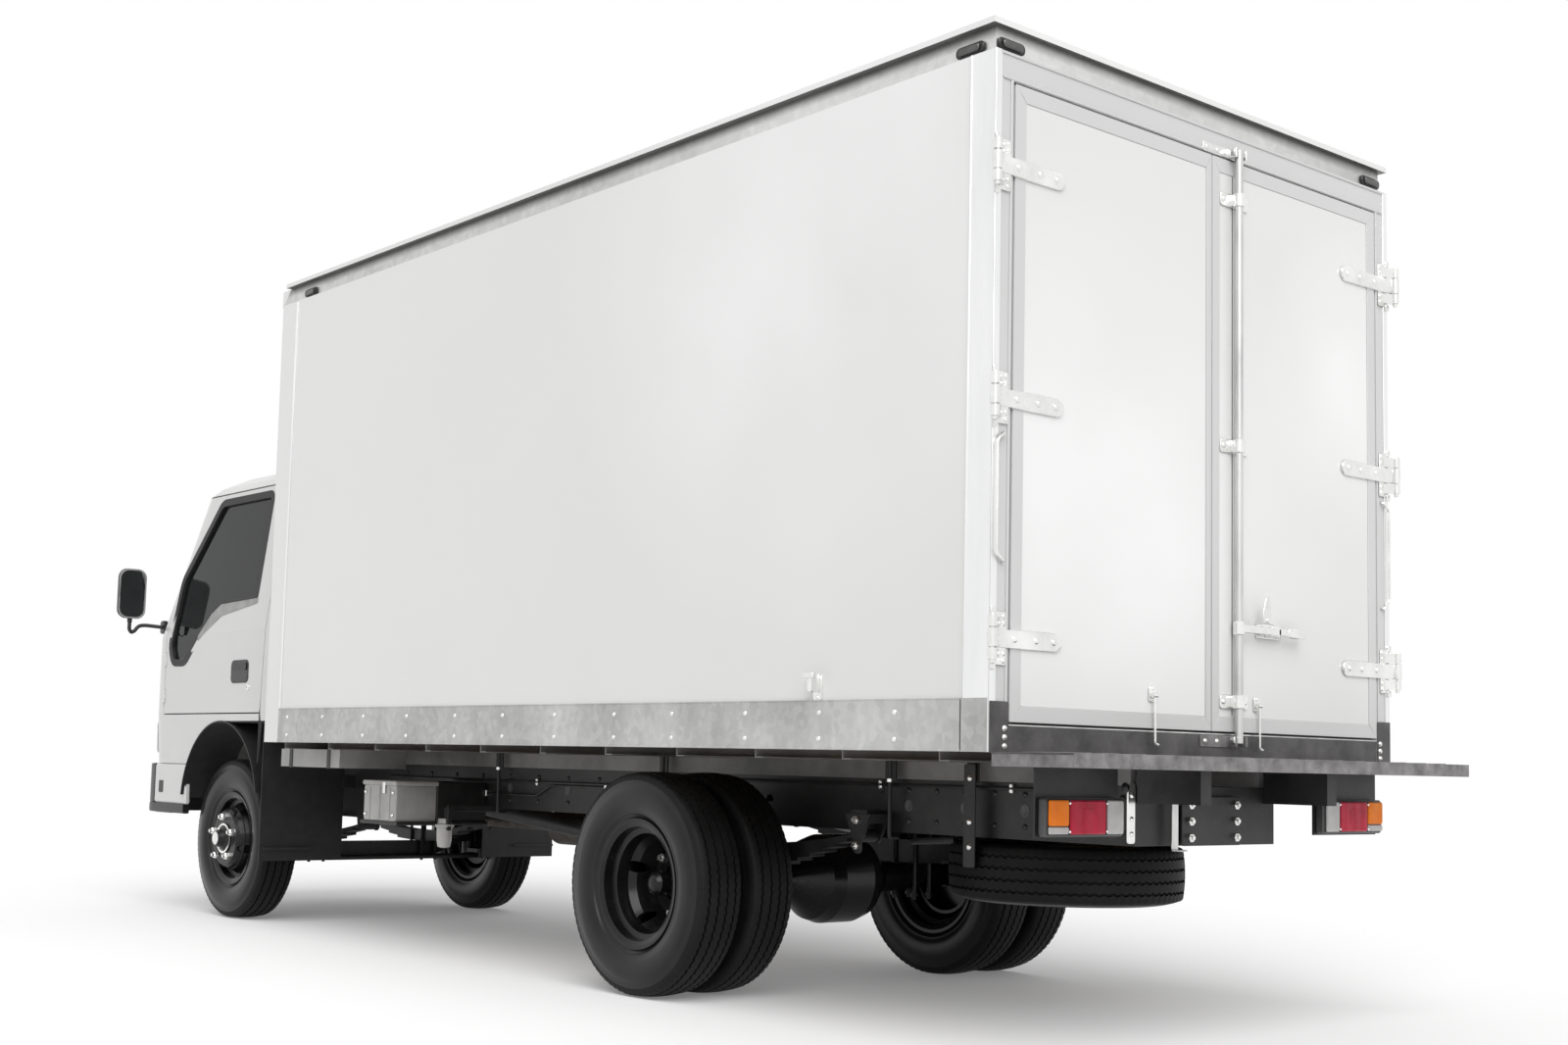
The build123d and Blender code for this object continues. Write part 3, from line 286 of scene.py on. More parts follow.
# %% Chassis paints and dark finishes
def dusty_dark(name, dark, light, roughness, patch, settled, grit):
    """A dark finish under uneven dust, with settled more on faces that look up.

    The patches are patch mm across, and the grit under the paint stands grit mm proud.
    """
    material, tree, shader, place = start(name, Roughness=roughness)
    dust = mottle(tree, place, patch, 0, 1, 8.0)
    if settled:
        facing = axis_of(tree, add(tree, "ShaderNodeNewGeometry").outputs["Normal"], "Z")
        up = ramp_between(tree, facing, 0.2, 1.0, 0.0, settled)
        dust = sum_of(tree, dust, up)
    tree.links.new(tint(tree, dust, dark, light), shader.inputs["Base Color"])
    relief(tree, shader, mottle(tree, place, patch / 12, 0, 1), grit)
    return material


DARK_FINISHES = {
    "chassis black": ("black chassis enamel", "#121212", "#2b2a2a", 0.45, 130, 0.5, 0.2),
    "sub frame grey": ("grey primed steel", "#6a6969", "#8b8a89", 0.5, 180, 0.3, 0.2),
    "wheel black": ("black wheel enamel", "#0d0d0e", "#1b1b1c", 0.22, 90, 0.0, 0.05),
    "step paint": ("worn black paint on steel", "#514f4f", "#8f8d8d", 0.5, 60, 0.4, 0.2),
    "sill black": ("worn black sill paint", "#2c2a2b", "#5b5959", 0.45, 110, 0.0, 0.3),
    "tank grey": ("grey tank enamel", "#3c3c3c", "#565555", 0.4, 150, 0.4, 0.2),
    "black plastic": ("grained black ABS", "#121212", "#222222", 0.38, 40, 0.0, 0.12),
    "gloss black": ("polished black ABS", "#0c0c0c", "#161616", 0.1, 120, 0.0, 0.02),
    "grey plastic": ("light grey polypropylene", "#9b9a99", "#b4b3b2", 0.4, 120, 0.2, 0.2),
    "trim grey": ("grey moulded trim", "#7d7d7c", "#a3a3a2", 0.3, 90, 0.0, 0.05),
    "rubber": ("black EPDM rubber", "#131313", "#222222", 0.55, 60, 0.0, 0.2),
    "exhaust": ("heat stained steel", "#3c3733", "#6b645d", 0.5, 70, 0.0, 0.2),
    "seat cloth": ("woven seat cloth", "#232325", "#323234", 0.9, 10, 0.0, 0.2),
    "plywood": ("varnished plywood", "#6a4c30", "#8a6843", 0.4, 300, 0.0, 0.2),
}
for key, values in DARK_FINISHES.items():
    materials[key] = dusty_dark(*values)
materials["exhaust"].node_tree.nodes["Principled BSDF"].inputs["Metallic"].default_value = 0.7
print("dark finishes ready")

# %% [markdown]
# ## Tyres
#
# Tyre rubber is carbon black in a matt binder.  The sidewall is moulded smooth
# and wears to a soft shine, so it keeps a bright ring of light; the tread is
# scrubbed matt and carries road dust in its grooves.


# %% Tyre rubber
def tyre_rubber(name, dark, light, roughness):
    """Black rubber with faint moulding marks a few millimetres apart."""
    material, tree, shader, place = start(name, Roughness=roughness)
    dust = mottle(tree, place, 140, 0, 1, 6.0)
    tree.links.new(tint(tree, dust, dark, light), shader.inputs["Base Color"])
    relief(tree, shader, mottle(tree, place, 5, 0, 1, 2.0), 0.08)
    return material


materials["sidewall"] = tyre_rubber("moulded sidewall rubber", "#0f0f0f", "#1b1b1b", 0.3)
materials["tread"] = tyre_rubber("scrubbed tread rubber", "#0b0b0b", "#171717", 0.6)
print("rubber ready")

# %% [markdown]
# ## Glass and lenses
#
# The cab windows are tinted, so they mostly show a dim reflection of what is
# outside.  Lamp lenses are moulded acrylic: clear colour with ribs inside that
# scatter the light, drawn here as a fine wave in the bump.  Tinted glass, worn
# rubber and dull lenses reflect less straight on than fresh clear plastic, so
# their specular level is set lower at the end.


# %% Glass and lenses
RADIANS_PER_METRE = 20  # of a wave texture at scale 1


def lens(name, dark, light, roughness, solid, wave_mm=0):
    """Coloured clear plastic, of which a share, solid, scatters like paint.

    The ribs are a sine wave along X that turns by one radian every wave_mm.
    """
    material, tree, shader, place = start(
        name, Roughness=roughness, Transmission_Weight=1.0 - solid, IOR=1.49)
    tree.links.new(
        tint(tree, mottle(tree, place, 60, 0, 1), dark, light), shader.inputs["Base Color"])
    if wave_mm:
        ribs = add(tree, "ShaderNodeTexWave", {
            "Vector": place, "Scale": 1000 / wave_mm / RADIANS_PER_METRE,
            "Distortion": 0.0}, bands_direction="X")
        relief(tree, shader, ribs.outputs["Fac"], 0.8)
    return material


materials["glass"] = lens("tinted safety glass", "#161919", "#1c1f1f", 0.02, 0.6)
materials["red lens"] = lens("red acrylic lens", "#a3122c", "#c21f40", 0.3, 1.0, 8)
materials["amber lens"] = lens("amber acrylic lens", "#ea7205", "#fb8c12", 0.3, 1.0, 8)
materials["white lens"] = lens("clear ribbed acrylic lens", "#b7b5b4", "#cfcdcc", 0.2, 0.9, 8)
materials["smoked lens"] = lens("smoked marker lens", "#4a4a49", "#727170", 0.1, 0.7, 12)
materials["clear lens"] = lens("clear acrylic lens", "#d8d8d8", "#e6e6e6", 0.06, 0.4, 20)
specular_level = {"red lens": 0.25, "amber lens": 0.25, "glass": 0.10, "sidewall": 0.30,
                  "tread": 0.20, "wheel black": 0.30}
for key, level in specular_level.items():
    shader = materials[key].node_tree.nodes["Principled BSDF"]
    shader.inputs["Specular IOR Level"].default_value = level
print("materials", len(materials))

# %% [markdown]
# ## Dress the CAD nodes
#
# Each CAD node gets its main finish, and some get a second one on part of their
# faces: the flashing under the roof edge, the hinge brackets on the rear frame
# and the brackets under the step.  The faces are picked by where their middles
# lie, so the mesh is untouched.


# %% One finish for each node
finish = {
    "cab enamel": "cab_shell cab_door_left cab_door_right front_bumper",
    "gel coat": "front_wall side_wall_left side_wall_right roof",
    "door gel coat": "rear_door_left rear_door_right",
    "door edge": "rear_frame",
    "galvanised": "side_rails",
    "bar steel": "lock_gear",
    "chassis black": "chassis_frame engine front_axle knuckle_left knuckle_right tie_rod"
                     " leaf_springs propshaft spare_carrier lamp_brackets",
    "wheel black": "rear_axle wheel_front_left wheel_front_right wheels_rear_left"
                   " wheels_rear_right spare_wheel",
    "sidewall": "tyre_front_left tyre_front_right tyres_rear_left tyres_rear_right spare_tyre",
    "sub frame grey": "subframe tail_lamps",
    "plywood": "cargo_floor",
    "step paint": "rear_step",
    "tank grey": "fuel_tank",
    "grey plastic": "air_box battery_box",
    "black plastic": "bumper_valance dashboard grille steering_column steering_wheel",
    "gloss black": "mirrors",
    "rubber": "mudguards",
    "exhaust": "exhaust",
    "seat cloth": "seats",
    "glass": "cab_rear_window door_glass_left door_glass_right windscreen",
    "clear lens": "headlamps",
    "smoked lens": "marker_lamps",
}
for key, names in finish.items():
    for name in names.split():
        data = nodes[name].data
        data.materials.clear()
        data.materials.append(materials[key])
bare = [name for name, node in nodes.items() if not node.data.materials]
print("bare nodes", bare)


# %% Second finishes
def middles(data):
    """Middle point of every face of a mesh, one row each."""
    flat = np.empty(len(data.polygons) * 3)
    data.polygons.foreach_get("center", flat)
    return flat.reshape(-1, 3)


def second_finish(data, key, chosen):
    """Give the chosen faces (true or false for each) another material."""
    index = np.empty(len(data.polygons), dtype=np.int32)
    data.polygons.foreach_get("material_index", index)
    index[chosen] = len(data.materials)
    data.materials.append(materials[key])
    data.polygons.foreach_set("material_index", index)
    data.update()
    return int(np.count_nonzero(chosen))


def corners(node):
    """Lowest and highest corner of a CAD node, as two rows of x, y and z."""
    return np.array(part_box(node))


roof_low, roof_high = corners("roof")
roof_sheet, roof_front_cap = 0.0175, 0.12
y_hinge_brackets = 2.9995
step_sheet = 0.0405
counts = {}
at = middles(nodes["roof"].data)
counts["roof band"] = second_finish(
    nodes["roof"].data, "band steel",
    (at[:, 2] < roof_high[2] - roof_sheet) & (at[:, 2] > roof_low[2] + 0.0005)
    & (at[:, 1] > roof_low[1] + roof_front_cap))
at = middles(nodes["rear_frame"].data)
counts["hinge brackets"] = second_finish(
    nodes["rear_frame"].data, "plated", at[:, 1] > y_hinge_brackets)
at = middles(nodes["rear_step"].data)
counts["step brackets"] = second_finish(
    nodes["rear_step"].data, "chassis black", at[:, 2] < corners("rear_step")[1][2] - step_sheet)
print("second finishes", counts)

# %% [markdown]
# ## Shapes from rings
#
# Bolts, tubes, straps, plates and tyres are all one idea: a closed outline that
# is carried along and changes as it goes.  Each shape below is an array of
# rings.  One function joins neighbouring rings by four-sided faces, closes the
# ends with a fan to the middle, and turns the faces outwards.


# %% Rings into a closed skin
def skin(rings, loop=False):
    """Points, quads and fan triangles over an array of rings (rings, points, 3).

    Quad (i, j) joins points j and j + 1 of ring i with those of ring i + 1.  The signed
    volume is the sum of a . (b x c) / 6 over the triangles; where it is negative, every
    face is turned round.
    """
    rings = np.asarray(rings, dtype=float)
    count, around = rings.shape[:2]
    points = rings.reshape(-1, 3)
    i, j = np.meshgrid(np.arange(count if loop else count - 1), np.arange(around), indexing="ij")
    here, after, ahead = i * around, (i + 1) % count * around, (j + 1) % around
    quads = np.stack([here + j, here + ahead, after + ahead, after + j], -1).reshape(-1, 4)
    fans = np.empty((0, 3), dtype=int)
    if not loop:
        poles = rings[[0, -1]].mean(axis=1)
        first = np.arange(around)
        second = (first + 1) % around
        last = (count - 1) * around
        start = np.stack([second, first, np.full(around, len(points))], -1)
        end = np.stack([last + first, last + second, np.full(around, len(points) + 1)], -1)
        points = np.concatenate([points, poles])
        fans = np.concatenate([start, end])
    triangles = np.concatenate([quads[:, [0, 1, 2]], quads[:, [0, 2, 3]], fans])
    a, b, c = points[triangles].transpose(1, 0, 2)
    if np.einsum("ij,ij->", a - points[0], np.cross(b - points[0], c - points[0])) < 0:
        quads, fans = quads[:, ::-1], fans[:, ::-1]
    return points, quads, fans


def joined(parts):
    """One part from many: points stacked, and face numbers raised to match."""
    starts = np.cumsum([0] + [len(part[0]) for part in parts[:-1]])
    return (np.concatenate([part[0] for part in parts]),
            np.concatenate([part[1] + start for part, start in zip(parts, starts)]),
            np.concatenate([part[2] + start for part, start in zip(parts, starts)]))


def copies(part, places):
    """The part repeated at each place, a row of x, y, z."""
    return joined([(part[0] + np.array(place), part[1], part[2]) for place in places])


def mirrored(part):
    """The part on the other side of the truck: x changes sign, faces turn round."""
    return part[0] * (-1, 1, 1), part[1][:, ::-1], part[2][:, ::-1]


def both(*parts):
    """Each part of the left side, followed by its mirror image."""
    return [side for part in parts for side in (part, mirrored(part))]


def piece(name, body, groups, replaces=()):
    """Object made of groups of parts, a finish each, riding on a body.

    Edges sharper than 35 degrees stay crisp and the rest shade smooth.
    """
    parts = [part for group in groups.values() for part in group]
    slots = [slot for slot, group in enumerate(groups.values()) for _ in group]
    points, quads, fans = joined(parts)
    mesh = bpy.data.meshes.new(name)
    mesh.from_pydata(points.tolist(), [], quads.tolist() + fans.tolist())
    for key in groups:
        mesh.materials.append(materials[key])
    index = np.concatenate([np.repeat(slots, [len(part[1]) for part in parts]),
                            np.repeat(slots, [len(part[2]) for part in parts])])
    mesh.polygons.foreach_set("material_index", index.astype(np.int32))
    mesh.shade_smooth()
    mesh.set_sharp_from_angle(angle=math.radians(35))
    made = bpy.data.objects.new(name, mesh)
    bpy.context.scene.collection.objects.link(made)
    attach(made, body)
    if replaces:
        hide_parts(*replaces)
    triangle_counts[name] = 2 * len(quads) + len(fans)
    return made


def pair(name, body, groups, replaces=()):
    """A left piece and its mirror image.  Where the body has {}, the side goes in.

    The left piece stands for the CAD nodes of both sides.
    """
    piece(f"{name}_left", body.format("left"), groups, replaces)
    piece(f"{name}_right", body.format("right"),
          {key: [mirrored(part) for part in group] for key, group in groups.items()})


triangle_counts = {}
print("skins ready")

# %% [markdown]
# ## Outlines, plates, tubes and turned pieces
#
# Most small parts on a truck are cut from sheet, bent from rod or turned on a
# lathe.  A few makers cover them: a rounded outline, a plate with eased edges, a
# rod along a path, and a turned profile.  Bolt heads and nuts are turned too.

# %% Outlines and makers
AXES = {"x": (1, 2, 0), "y": (0, 2, 1), "z": (0, 1, 2)}


def rounded(width, height, radius, steps=4):
    """Outline of a rectangle with round corners: a quarter circle about each corner."""
    angle = np.linspace(0, np.pi / 2, steps)
    quarter = np.stack([np.cos(angle), np.sin(angle)], -1) * radius
    turns = np.array([[[1, 0], [0, 1]], [[0, 1], [-1, 0]], [[-1, 0], [0, -1]], [[0, -1], [1, 0]]])
    corners = np.array([[1, 1], [-1, 1], [-1, -1], [1, -1]]) * (width / 2 - radius, height / 2 - radius)
    return (np.einsum("kp,cpq->ckq", quarter, turns) + corners[:, None]).reshape(-1, 2)


def placed(outline, axis, level):
    """A flat outline put square to an axis at one level."""
    u, v, w = AXES[axis]
    ring = np.empty((len(outline), 3))
    ring[:, u], ring[:, v], ring[:, w] = outline[:, 0], outline[:, 1], level
    return ring


def plate(outline, axis, low, high, ease=0.0, at=(0, 0)):
    """Flat plate between two levels, with its outer edges eased.

    The end outlines shrink towards the outline's middle by the ease on every side.
    """
    outline = np.asarray(outline, dtype=float) + np.array(at)
    middle = (outline.min(axis=0) + outline.max(axis=0)) / 2
    half = (outline.max(axis=0) - outline.min(axis=0)) / 2
    small = middle + (outline - middle) * (1 - ease / half)
    step = ease * math.copysign(1, high - low)
    levels = [(small, low), (outline, low + step), (outline, high - step), (small, high)]
    return skin([placed(shape, axis, level) for shape, level in levels])


def rod(corners, radius, bend=0.0, sides=10):
    """Round bar through corners, each corner a quadratic curve of the bend's length.

    A curve point is (1-t)^2 a + 2t(1-t) b + t^2 c.  Each ring stands square to the path.
    """
    corners = np.asarray(corners, dtype=float)
    path = [corners[:1]]
    for before, corner, after in zip(corners, corners[1:], corners[2:]):
        a = corner + (before - corner) / np.linalg.norm(before - corner) * bend
        c = corner + (after - corner) / np.linalg.norm(after - corner) * bend
        t = np.linspace(0, 1, 7)[:, None]
        path.append((1 - t) ** 2 * a + 2 * t * (1 - t) * corner + t ** 2 * c)
    path = np.concatenate(path + [corners[-1:]])
    along = np.gradient(path, axis=0)
    along /= np.linalg.norm(along, axis=1)[:, None]
    spread = np.ptp(corners, axis=0)
    aside = np.cross(along, np.eye(3)[int(np.argmin(spread))])
    aside /= np.linalg.norm(aside, axis=1)[:, None]
    other = np.cross(along, aside)
    angle = np.arange(sides) * 2 * np.pi / sides
    return skin(path[:, None] + radius * (aside[:, None] * np.cos(angle)[None, :, None]
                                          + other[:, None] * np.sin(angle)[None, :, None]))


def turned(profile, axis, centre=(0, 0, 0), sides=24):
    """Lathe work: each profile row (along, radius) becomes a ring about the axis."""
    profile = np.asarray(profile, dtype=float)
    angle = np.arange(sides) * 2 * np.pi / sides
    u, v, w = AXES[axis]
    rings = np.empty((len(profile), sides, 3))
    rings[..., u] = profile[:, 1:] * np.cos(angle)
    rings[..., v] = profile[:, 1:] * np.sin(angle)
    rings[..., w] = profile[:, :1]
    return skin(rings + np.array(centre))


def slab(width, height, radius, axis, low, high, ease=0.0, at=(0, 0)):
    """Plate whose outline is a rectangle with round corners."""
    return plate(rounded(width, height, radius), axis, low, high, ease, at)


def dome_bolts(axis, radius, height, places):
    """Low domed bolt heads: a quarter of an ellipse turned about its axis at each place."""
    rise = np.linspace(0, np.pi / 2 - 0.12, 4)
    head = turned(np.stack([height * np.sin(rise), radius * np.cos(rise)], -1), axis, sides=10)
    return copies(head, places)


def hex_nut(axis, out, radius, height, stud):
    """Six-sided nut with a chamfered face and the end of its stud."""
    nut = turned([(0, radius), (out * height * 0.85, radius), (out * height, radius * 0.86)],
                 axis, sides=6)
    end = turned([(0, radius * 0.5), (out * (height + stud), radius * 0.5)], axis, sides=8)
    return joined([nut, end])


print("makers ready")

# %% [markdown]
# ## Tyres
#
# A radial truck tyre is a moulded torus: smooth sidewalls with raised rings, a
# shoulder with small notches, and a tread with four zigzag grooves.  It could be
# sculpted, but a tyre is exactly a profile turned about an axle with a small
# change from one moulding pitch to the next, so a grid of profile by angle says
# it in a few lines.

# %% Tyre profile and grid
tyre_radius, tyre_half, tread_depth = 0.3875, 0.1, 0.029
pitches = 80
steps = 4 * pitches
tread_swing, shoulder_notch = 0.0026, 0.0025
crown_half, crown_drop = 0.079, 0.0065
groove_centres = np.array([-0.055, -0.0185, 0.0185, 0.055])
groove_depth = 0.0095
side_x = np.array([0.069, 0.0735, 0.0770, 0.0835, 0.0862, 0.0868, 0.0925, 0.0965, 0.0990, 0.1000,
                   0.0998, 0.0990, 0.0986, 0.0972, 0.0964, 0.0940, 0.0905, 0.0870, 0.0835])
side_r = np.array([0.2035, 0.2265, 0.2330, 0.2400, 0.2420, 0.2460, 0.2570, 0.2680, 0.2800, 0.2930,
                   0.3060, 0.3200, 0.3212, 0.3320, 0.3332, 0.3450, 0.3570, 0.3680, 0.3770])
groove_edges = np.array([-0.0042, -0.0028, 0.0028, 0.0042])
crown_x = np.concatenate([[-crown_half]] + [c + groove_edges for c in groove_centres] + [[crown_half]])
cut = np.concatenate([[0]] + [np.array([0, 1, 1, 0])] * 4 + [[0]])
crown_r = tyre_radius - crown_drop * (crown_x / crown_half) ** 2 - groove_depth * cut
profile_x = np.concatenate([-side_x, crown_x, side_x[::-1]])
profile_r = np.concatenate([side_r, crown_r, side_r[::-1]])
inside = np.abs(crown_x) < crown_half - 0.001
is_crown = np.concatenate([np.zeros(len(side_x)), inside, np.zeros(len(side_x))])
is_shoulder = (profile_r > 0.36) & (is_crown == 0)


def tyre(x, y, z, upright=True):
    """A tyre about a line through (x, y, z), along X if upright and else along Z.

    The tread columns swing by a triangle wave of 2.6 mm, four steps to a pitch, and the
    shoulder drops by 2.5 mm at the first step of each pitch.
    """
    step = np.arange(steps)
    wave = np.abs(step % 4 - 2) - 1
    across = profile_x[:, None] + is_crown[:, None] * tread_swing * wave
    radius = profile_r[:, None] - shoulder_notch * is_shoulder[:, None] * (step % 4 == 0)
    angle = step * 2 * np.pi / steps
    first, second = radius * np.cos(angle), radius * np.sin(angle)
    rings = np.stack([across, first, second] if upright else [first, second, across], -1)
    return skin(rings + np.array([x, y, z]), loop=True)


def centre_of(node):
    """Middle of a node's box."""
    return corners(node).mean(axis=0)


def dress_tyres(node, body, centres, upright=True):
    """Tyres in place of a CAD node, matt on the tread and shinier on the sidewalls."""
    rings = {"sidewall": [tyre(*c, upright) for c in centres]}
    made = piece(f"moulded_{node}", body, rings, (node,))
    at = middles(made.data)
    below_tread = np.full(len(at), np.inf)
    for c in centres:
        off = at - np.array(c)
        far = np.hypot(off[:, 1], off[:, 2]) if upright else np.hypot(off[:, 0], off[:, 1])
        wide = np.abs(off[:, 0] if upright else off[:, 2])
        within = wide < tyre_half + 0.001
        below_tread = np.where(within, np.minimum(below_tread, tyre_radius - far), below_tread)
    second_finish(made.data, "tread", below_tread < tread_depth)


twin_spread = 0.115
for side in ("left", "right"):
    dress_tyres(f"tyre_front_{side}", f"wheel_front_{side}", [centre_of(f"tyre_front_{side}")])
    x, y, z = centre_of(f"tyres_rear_{side}")
    dress_tyres(f"tyres_rear_{side}", f"wheels_rear_{side}",
                [(x - twin_spread, y, z), (x + twin_spread, y, z)])
dress_tyres("spare_tyre", "chassis", [centre_of("spare_tyre")], upright=False)
print("tyre triangles", triangle_counts)

# %% [markdown]
# ## Wheel nuts and hub caps
#
# Five zinc plated nuts hold each wheel.  On the front hub a pressed cap shines
# in the middle; at the back the axle flange carries a ring of small studs.

# %% Nuts, caps and flange bolts
stud_circle = 0.104
axle_z = tyre_radius
x_front_disc, x_front_flange = 0.793, 0.7965
x_rear_disc, x_rear_flange = 0.736, 0.7275
dust_cap = [(0.841, 0.0315), (0.8438, 0.028), (0.8462, 0.018), (0.847, 0.004)]
cap_ring = [(0.798, 0.0735), (0.8015, 0.073), (0.8015, 0.060), (0.798, 0.059)]
hub_dome = [(0.843, 0.0305), (0.8475, 0.027), (0.852, 0.015), (0.853, 0.003)]


def ring_of(part, count, radius, centre, first):
    """The part repeated about an axle at even angles, from the first one in degrees."""
    angle = np.radians(first) + np.arange(count) * 2 * np.pi / count
    around = np.stack([np.zeros(count), radius * np.cos(angle), radius * np.sin(angle)], -1)
    return copies(part, around + np.array(centre))


for side, hand in (("left", 1), ("right", -1)):
    y_front = centre_of(f"tyre_front_{side}")[1]
    y_rear = centre_of(f"tyres_rear_{side}")[1]
    nuts = ring_of(hex_nut("x", hand, 0.0185, 0.024, 0.011), 5, stud_circle,
                   (hand * x_front_disc, y_front, axle_z), 18)
    bolts = ring_of(hex_nut("x", hand, 0.0065, 0.005, 0.002), 8, 0.0585,
                    (hand * x_front_flange, y_front, axle_z), 22)
    cap = turned(np.multiply(dust_cap, (hand, 1)), "x", (0, y_front, axle_z))
    ring = turned(np.multiply(cap_ring, (hand, 1)), "x", (0, y_front, axle_z), sides=40)
    piece(f"wheel_nuts_front_{side}", f"wheel_front_{side}",
          {"plated": [nuts, cap, ring], "wheel black": [bolts]})
    nuts = ring_of(hex_nut("x", hand, 0.0185, 0.026, 0.012), 5, stud_circle,
                   (hand * x_rear_disc, y_rear, axle_z), 54)
    bolts = ring_of(hex_nut("x", hand, 0.0085, 0.008, 0.004), 8, 0.057,
                    (hand * x_rear_flange, y_rear, axle_z), 10)
    dome = turned(np.multiply(hub_dome, (hand, 1)), "x", (0, y_rear, axle_z))
    piece(f"wheel_nuts_rear_{side}", f"wheels_rear_{side}",
          {"plated": [nuts], "wheel black": [dome, bolts]})
print("nuts ready")

# %% [markdown]
# ## Rear doors
#
# Each leaf is a gel coated plywood panel in an extruded edging that stands 3 mm
# proud and is mitred at the corners.  The edging is four bars, each eased, so a
# fine line shows at every mitre.  The frame's plain leaf stays, hidden, and
# these pieces stand for it.  The frame's plain leaf stays for collision, and
# these pieces stand for it.

# %% Door sizes
leaf_low, leaf_high = corners("rear_door_left")
hinge_depth = 0.034
y_back, y_leaf = leaf_low[1], leaf_high[1] - hinge_depth
x_inner, x_outer = leaf_low[0], 0.924
z_low, z_high = leaf_low[2], leaf_high[2]
edging_wide, edging_top, edging_proud = 0.045, 0.048, 0.003
split_left, split_right = 0.027, 0.037
hinge_x, hinge_y = 1.022, 3.025
hinge_levels = (1.175, 1.857, 2.530)
print("leaf from", round(x_inner, 3), "to", x_outer, "face at", round(y_leaf, 3))


# %% Board, edging and face panel
def edging_bars(split_wide):
    """Four mitred bars round a leaf: each is a trapezoid plate between two rectangles."""
    a, b, c, d = x_inner, x_outer, z_low, z_high
    p, q, r, s = a + split_wide, b - edging_wide, c + edging_wide, d - edging_top
    bars = ([(a, c), (b, c), (q, r), (p, r)], [(b, c), (b, d), (q, s), (q, r)],
            [(b, d), (a, d), (p, s), (q, s)], [(a, d), (a, c), (p, r), (p, s)])
    return [plate(bar, "y", y_leaf - edging_proud, y_leaf, 0.0012) for bar in bars]


def leaf_parts(split_wide):
    """The board of a left leaf, its face panel and its rubber seal."""
    middle = ((x_inner + x_outer) / 2, (z_low + z_high) / 2)
    wide, tall = x_outer - x_inner, z_high - z_low
    board = slab(wide, tall, 0.004, "y", y_back, y_leaf - edging_proud, 0.001, middle)
    seal = slab(wide + 0.006, tall + 0.006, 0.008, "y", y_back + 0.006, y_back + 0.012, 0.0, middle)
    left, right = x_inner + split_wide, x_outer - edging_wide
    foot, top = z_low + edging_wide, z_high - edging_top
    face = slab(right - left - 0.002, top - foot - 0.002, 0.003, "y",
                y_leaf - 0.0035, y_leaf - 0.0022, 0.0005, ((left + right) / 2, (foot + top) / 2))
    return board, face, seal


print("edging bars", len(edging_bars(split_left)))

# %% [markdown]
# ## Hinges of the rear doors
#
# Each leaf hangs on three forged strap hinges.  A strap lies flat on the leaf,
# crowned across its width, and cranks outwards to its pin beyond the corner
# post, so that the leaf can fold back along the side.  The crank is one smooth
# step, so the strap is a section carried along X.

# %% Straps and pins
strap_tip, strap_round = 0.715, 0.027
crank_from, crank_long, crank_out = 0.968, 0.045, 0.0125
strap_bolts = (0.752, 0.826, 0.916)


def strap(level):
    """Hinge strap of a left leaf: a D section carried along X, round at its tip.

    Half height h at distance d from the tip is r sqrt(1 - (1 - d / r)^2) up to r.
    The face stands at sqrt(sin) of the section angle.
    The strap leaves the leaf by a smooth step of y, t^2 (3 - 2t), towards the hinge pin.
    """
    r = strap_round
    tip = strap_tip + r * (1 - np.cos(np.linspace(0.15, np.pi / 2, 7)))
    x = np.concatenate([tip, [0.80, 0.88, 0.95], np.linspace(0.975, hinge_x - 0.004, 7)])
    h = r * np.sqrt(1 - (1 - np.clip((x - strap_tip) / r, 0, 1)) ** 2)
    t = np.clip((x - crank_from) / crank_long, 0, 1)
    lift = crank_out * t * t * (3 - 2 * t)
    angle = np.linspace(0, 2 * np.pi, 17)[:-1]
    crown = np.sqrt(np.clip(np.sin(angle), 0, 1))
    thick = 0.0092 - 0.0022 * t
    rings = np.empty((len(x), len(angle), 3))
    rings[..., 0] = x[:, None]
    rings[..., 1] = y_leaf + 0.0002 + lift[:, None] + thick[:, None] * crown
    rings[..., 2] = level + h[:, None] * np.cos(angle)
    return skin(rings)


def drum(level, half, radius, centre):
    """Short upright cylinder about a level, its two ends chamfered."""
    chamfer = 0.0015
    return turned([(level - half, radius - chamfer), (level - half + chamfer, radius),
                   (level + half - chamfer, radius), (level + half, radius - chamfer)],
                  "z", (*centre, 0))


def hinge_leaf(level):
    """Moving half of one hinge: strap, pin barrel and three domed bolts on washers."""
    barrel = drum(level, 0.027, 0.014, (hinge_x, hinge_y))
    bolts = dome_bolts("y", 0.0105, 0.006, [(x, y_leaf + 0.0085, level) for x in strap_bolts])
    washers = copies(turned([(0, 0.0145), (0.0012, 0.0145)], "y"),
                     [(x, y_leaf + 0.0082, level) for x in strap_bolts])
    return [strap(level), barrel, bolts, washers]


hardware = [part for level in hinge_levels for part in hinge_leaf(level)]
board, face, seal = leaf_parts(split_left)
piece("door_leaf_left", "rear_door_left", {
    "door edge": [board] + edging_bars(split_left), "door gel coat": [face], "rubber": [seal],
    "plated": hardware}, ("rear_door_left",))
board, face, seal = leaf_parts(split_right)
joint_strip = slab(0.0025, z_high - z_low - 0.1, 0.001, "y", y_leaf - 0.0026, y_leaf - 0.0014, 0.0,
                   (0.107, (z_low + z_high) / 2))
piece("door_leaf_right", "rear_door_right", {
    "door edge": [mirrored(part) for part in [board] + edging_bars(split_right)],
    "door gel coat": [mirrored(face)], "rubber": [mirrored(seal), mirrored(joint_strip)],
    "plated": [mirrored(part) for part in hardware]}, ("rear_door_right",))
print("hinges at", hinge_levels)

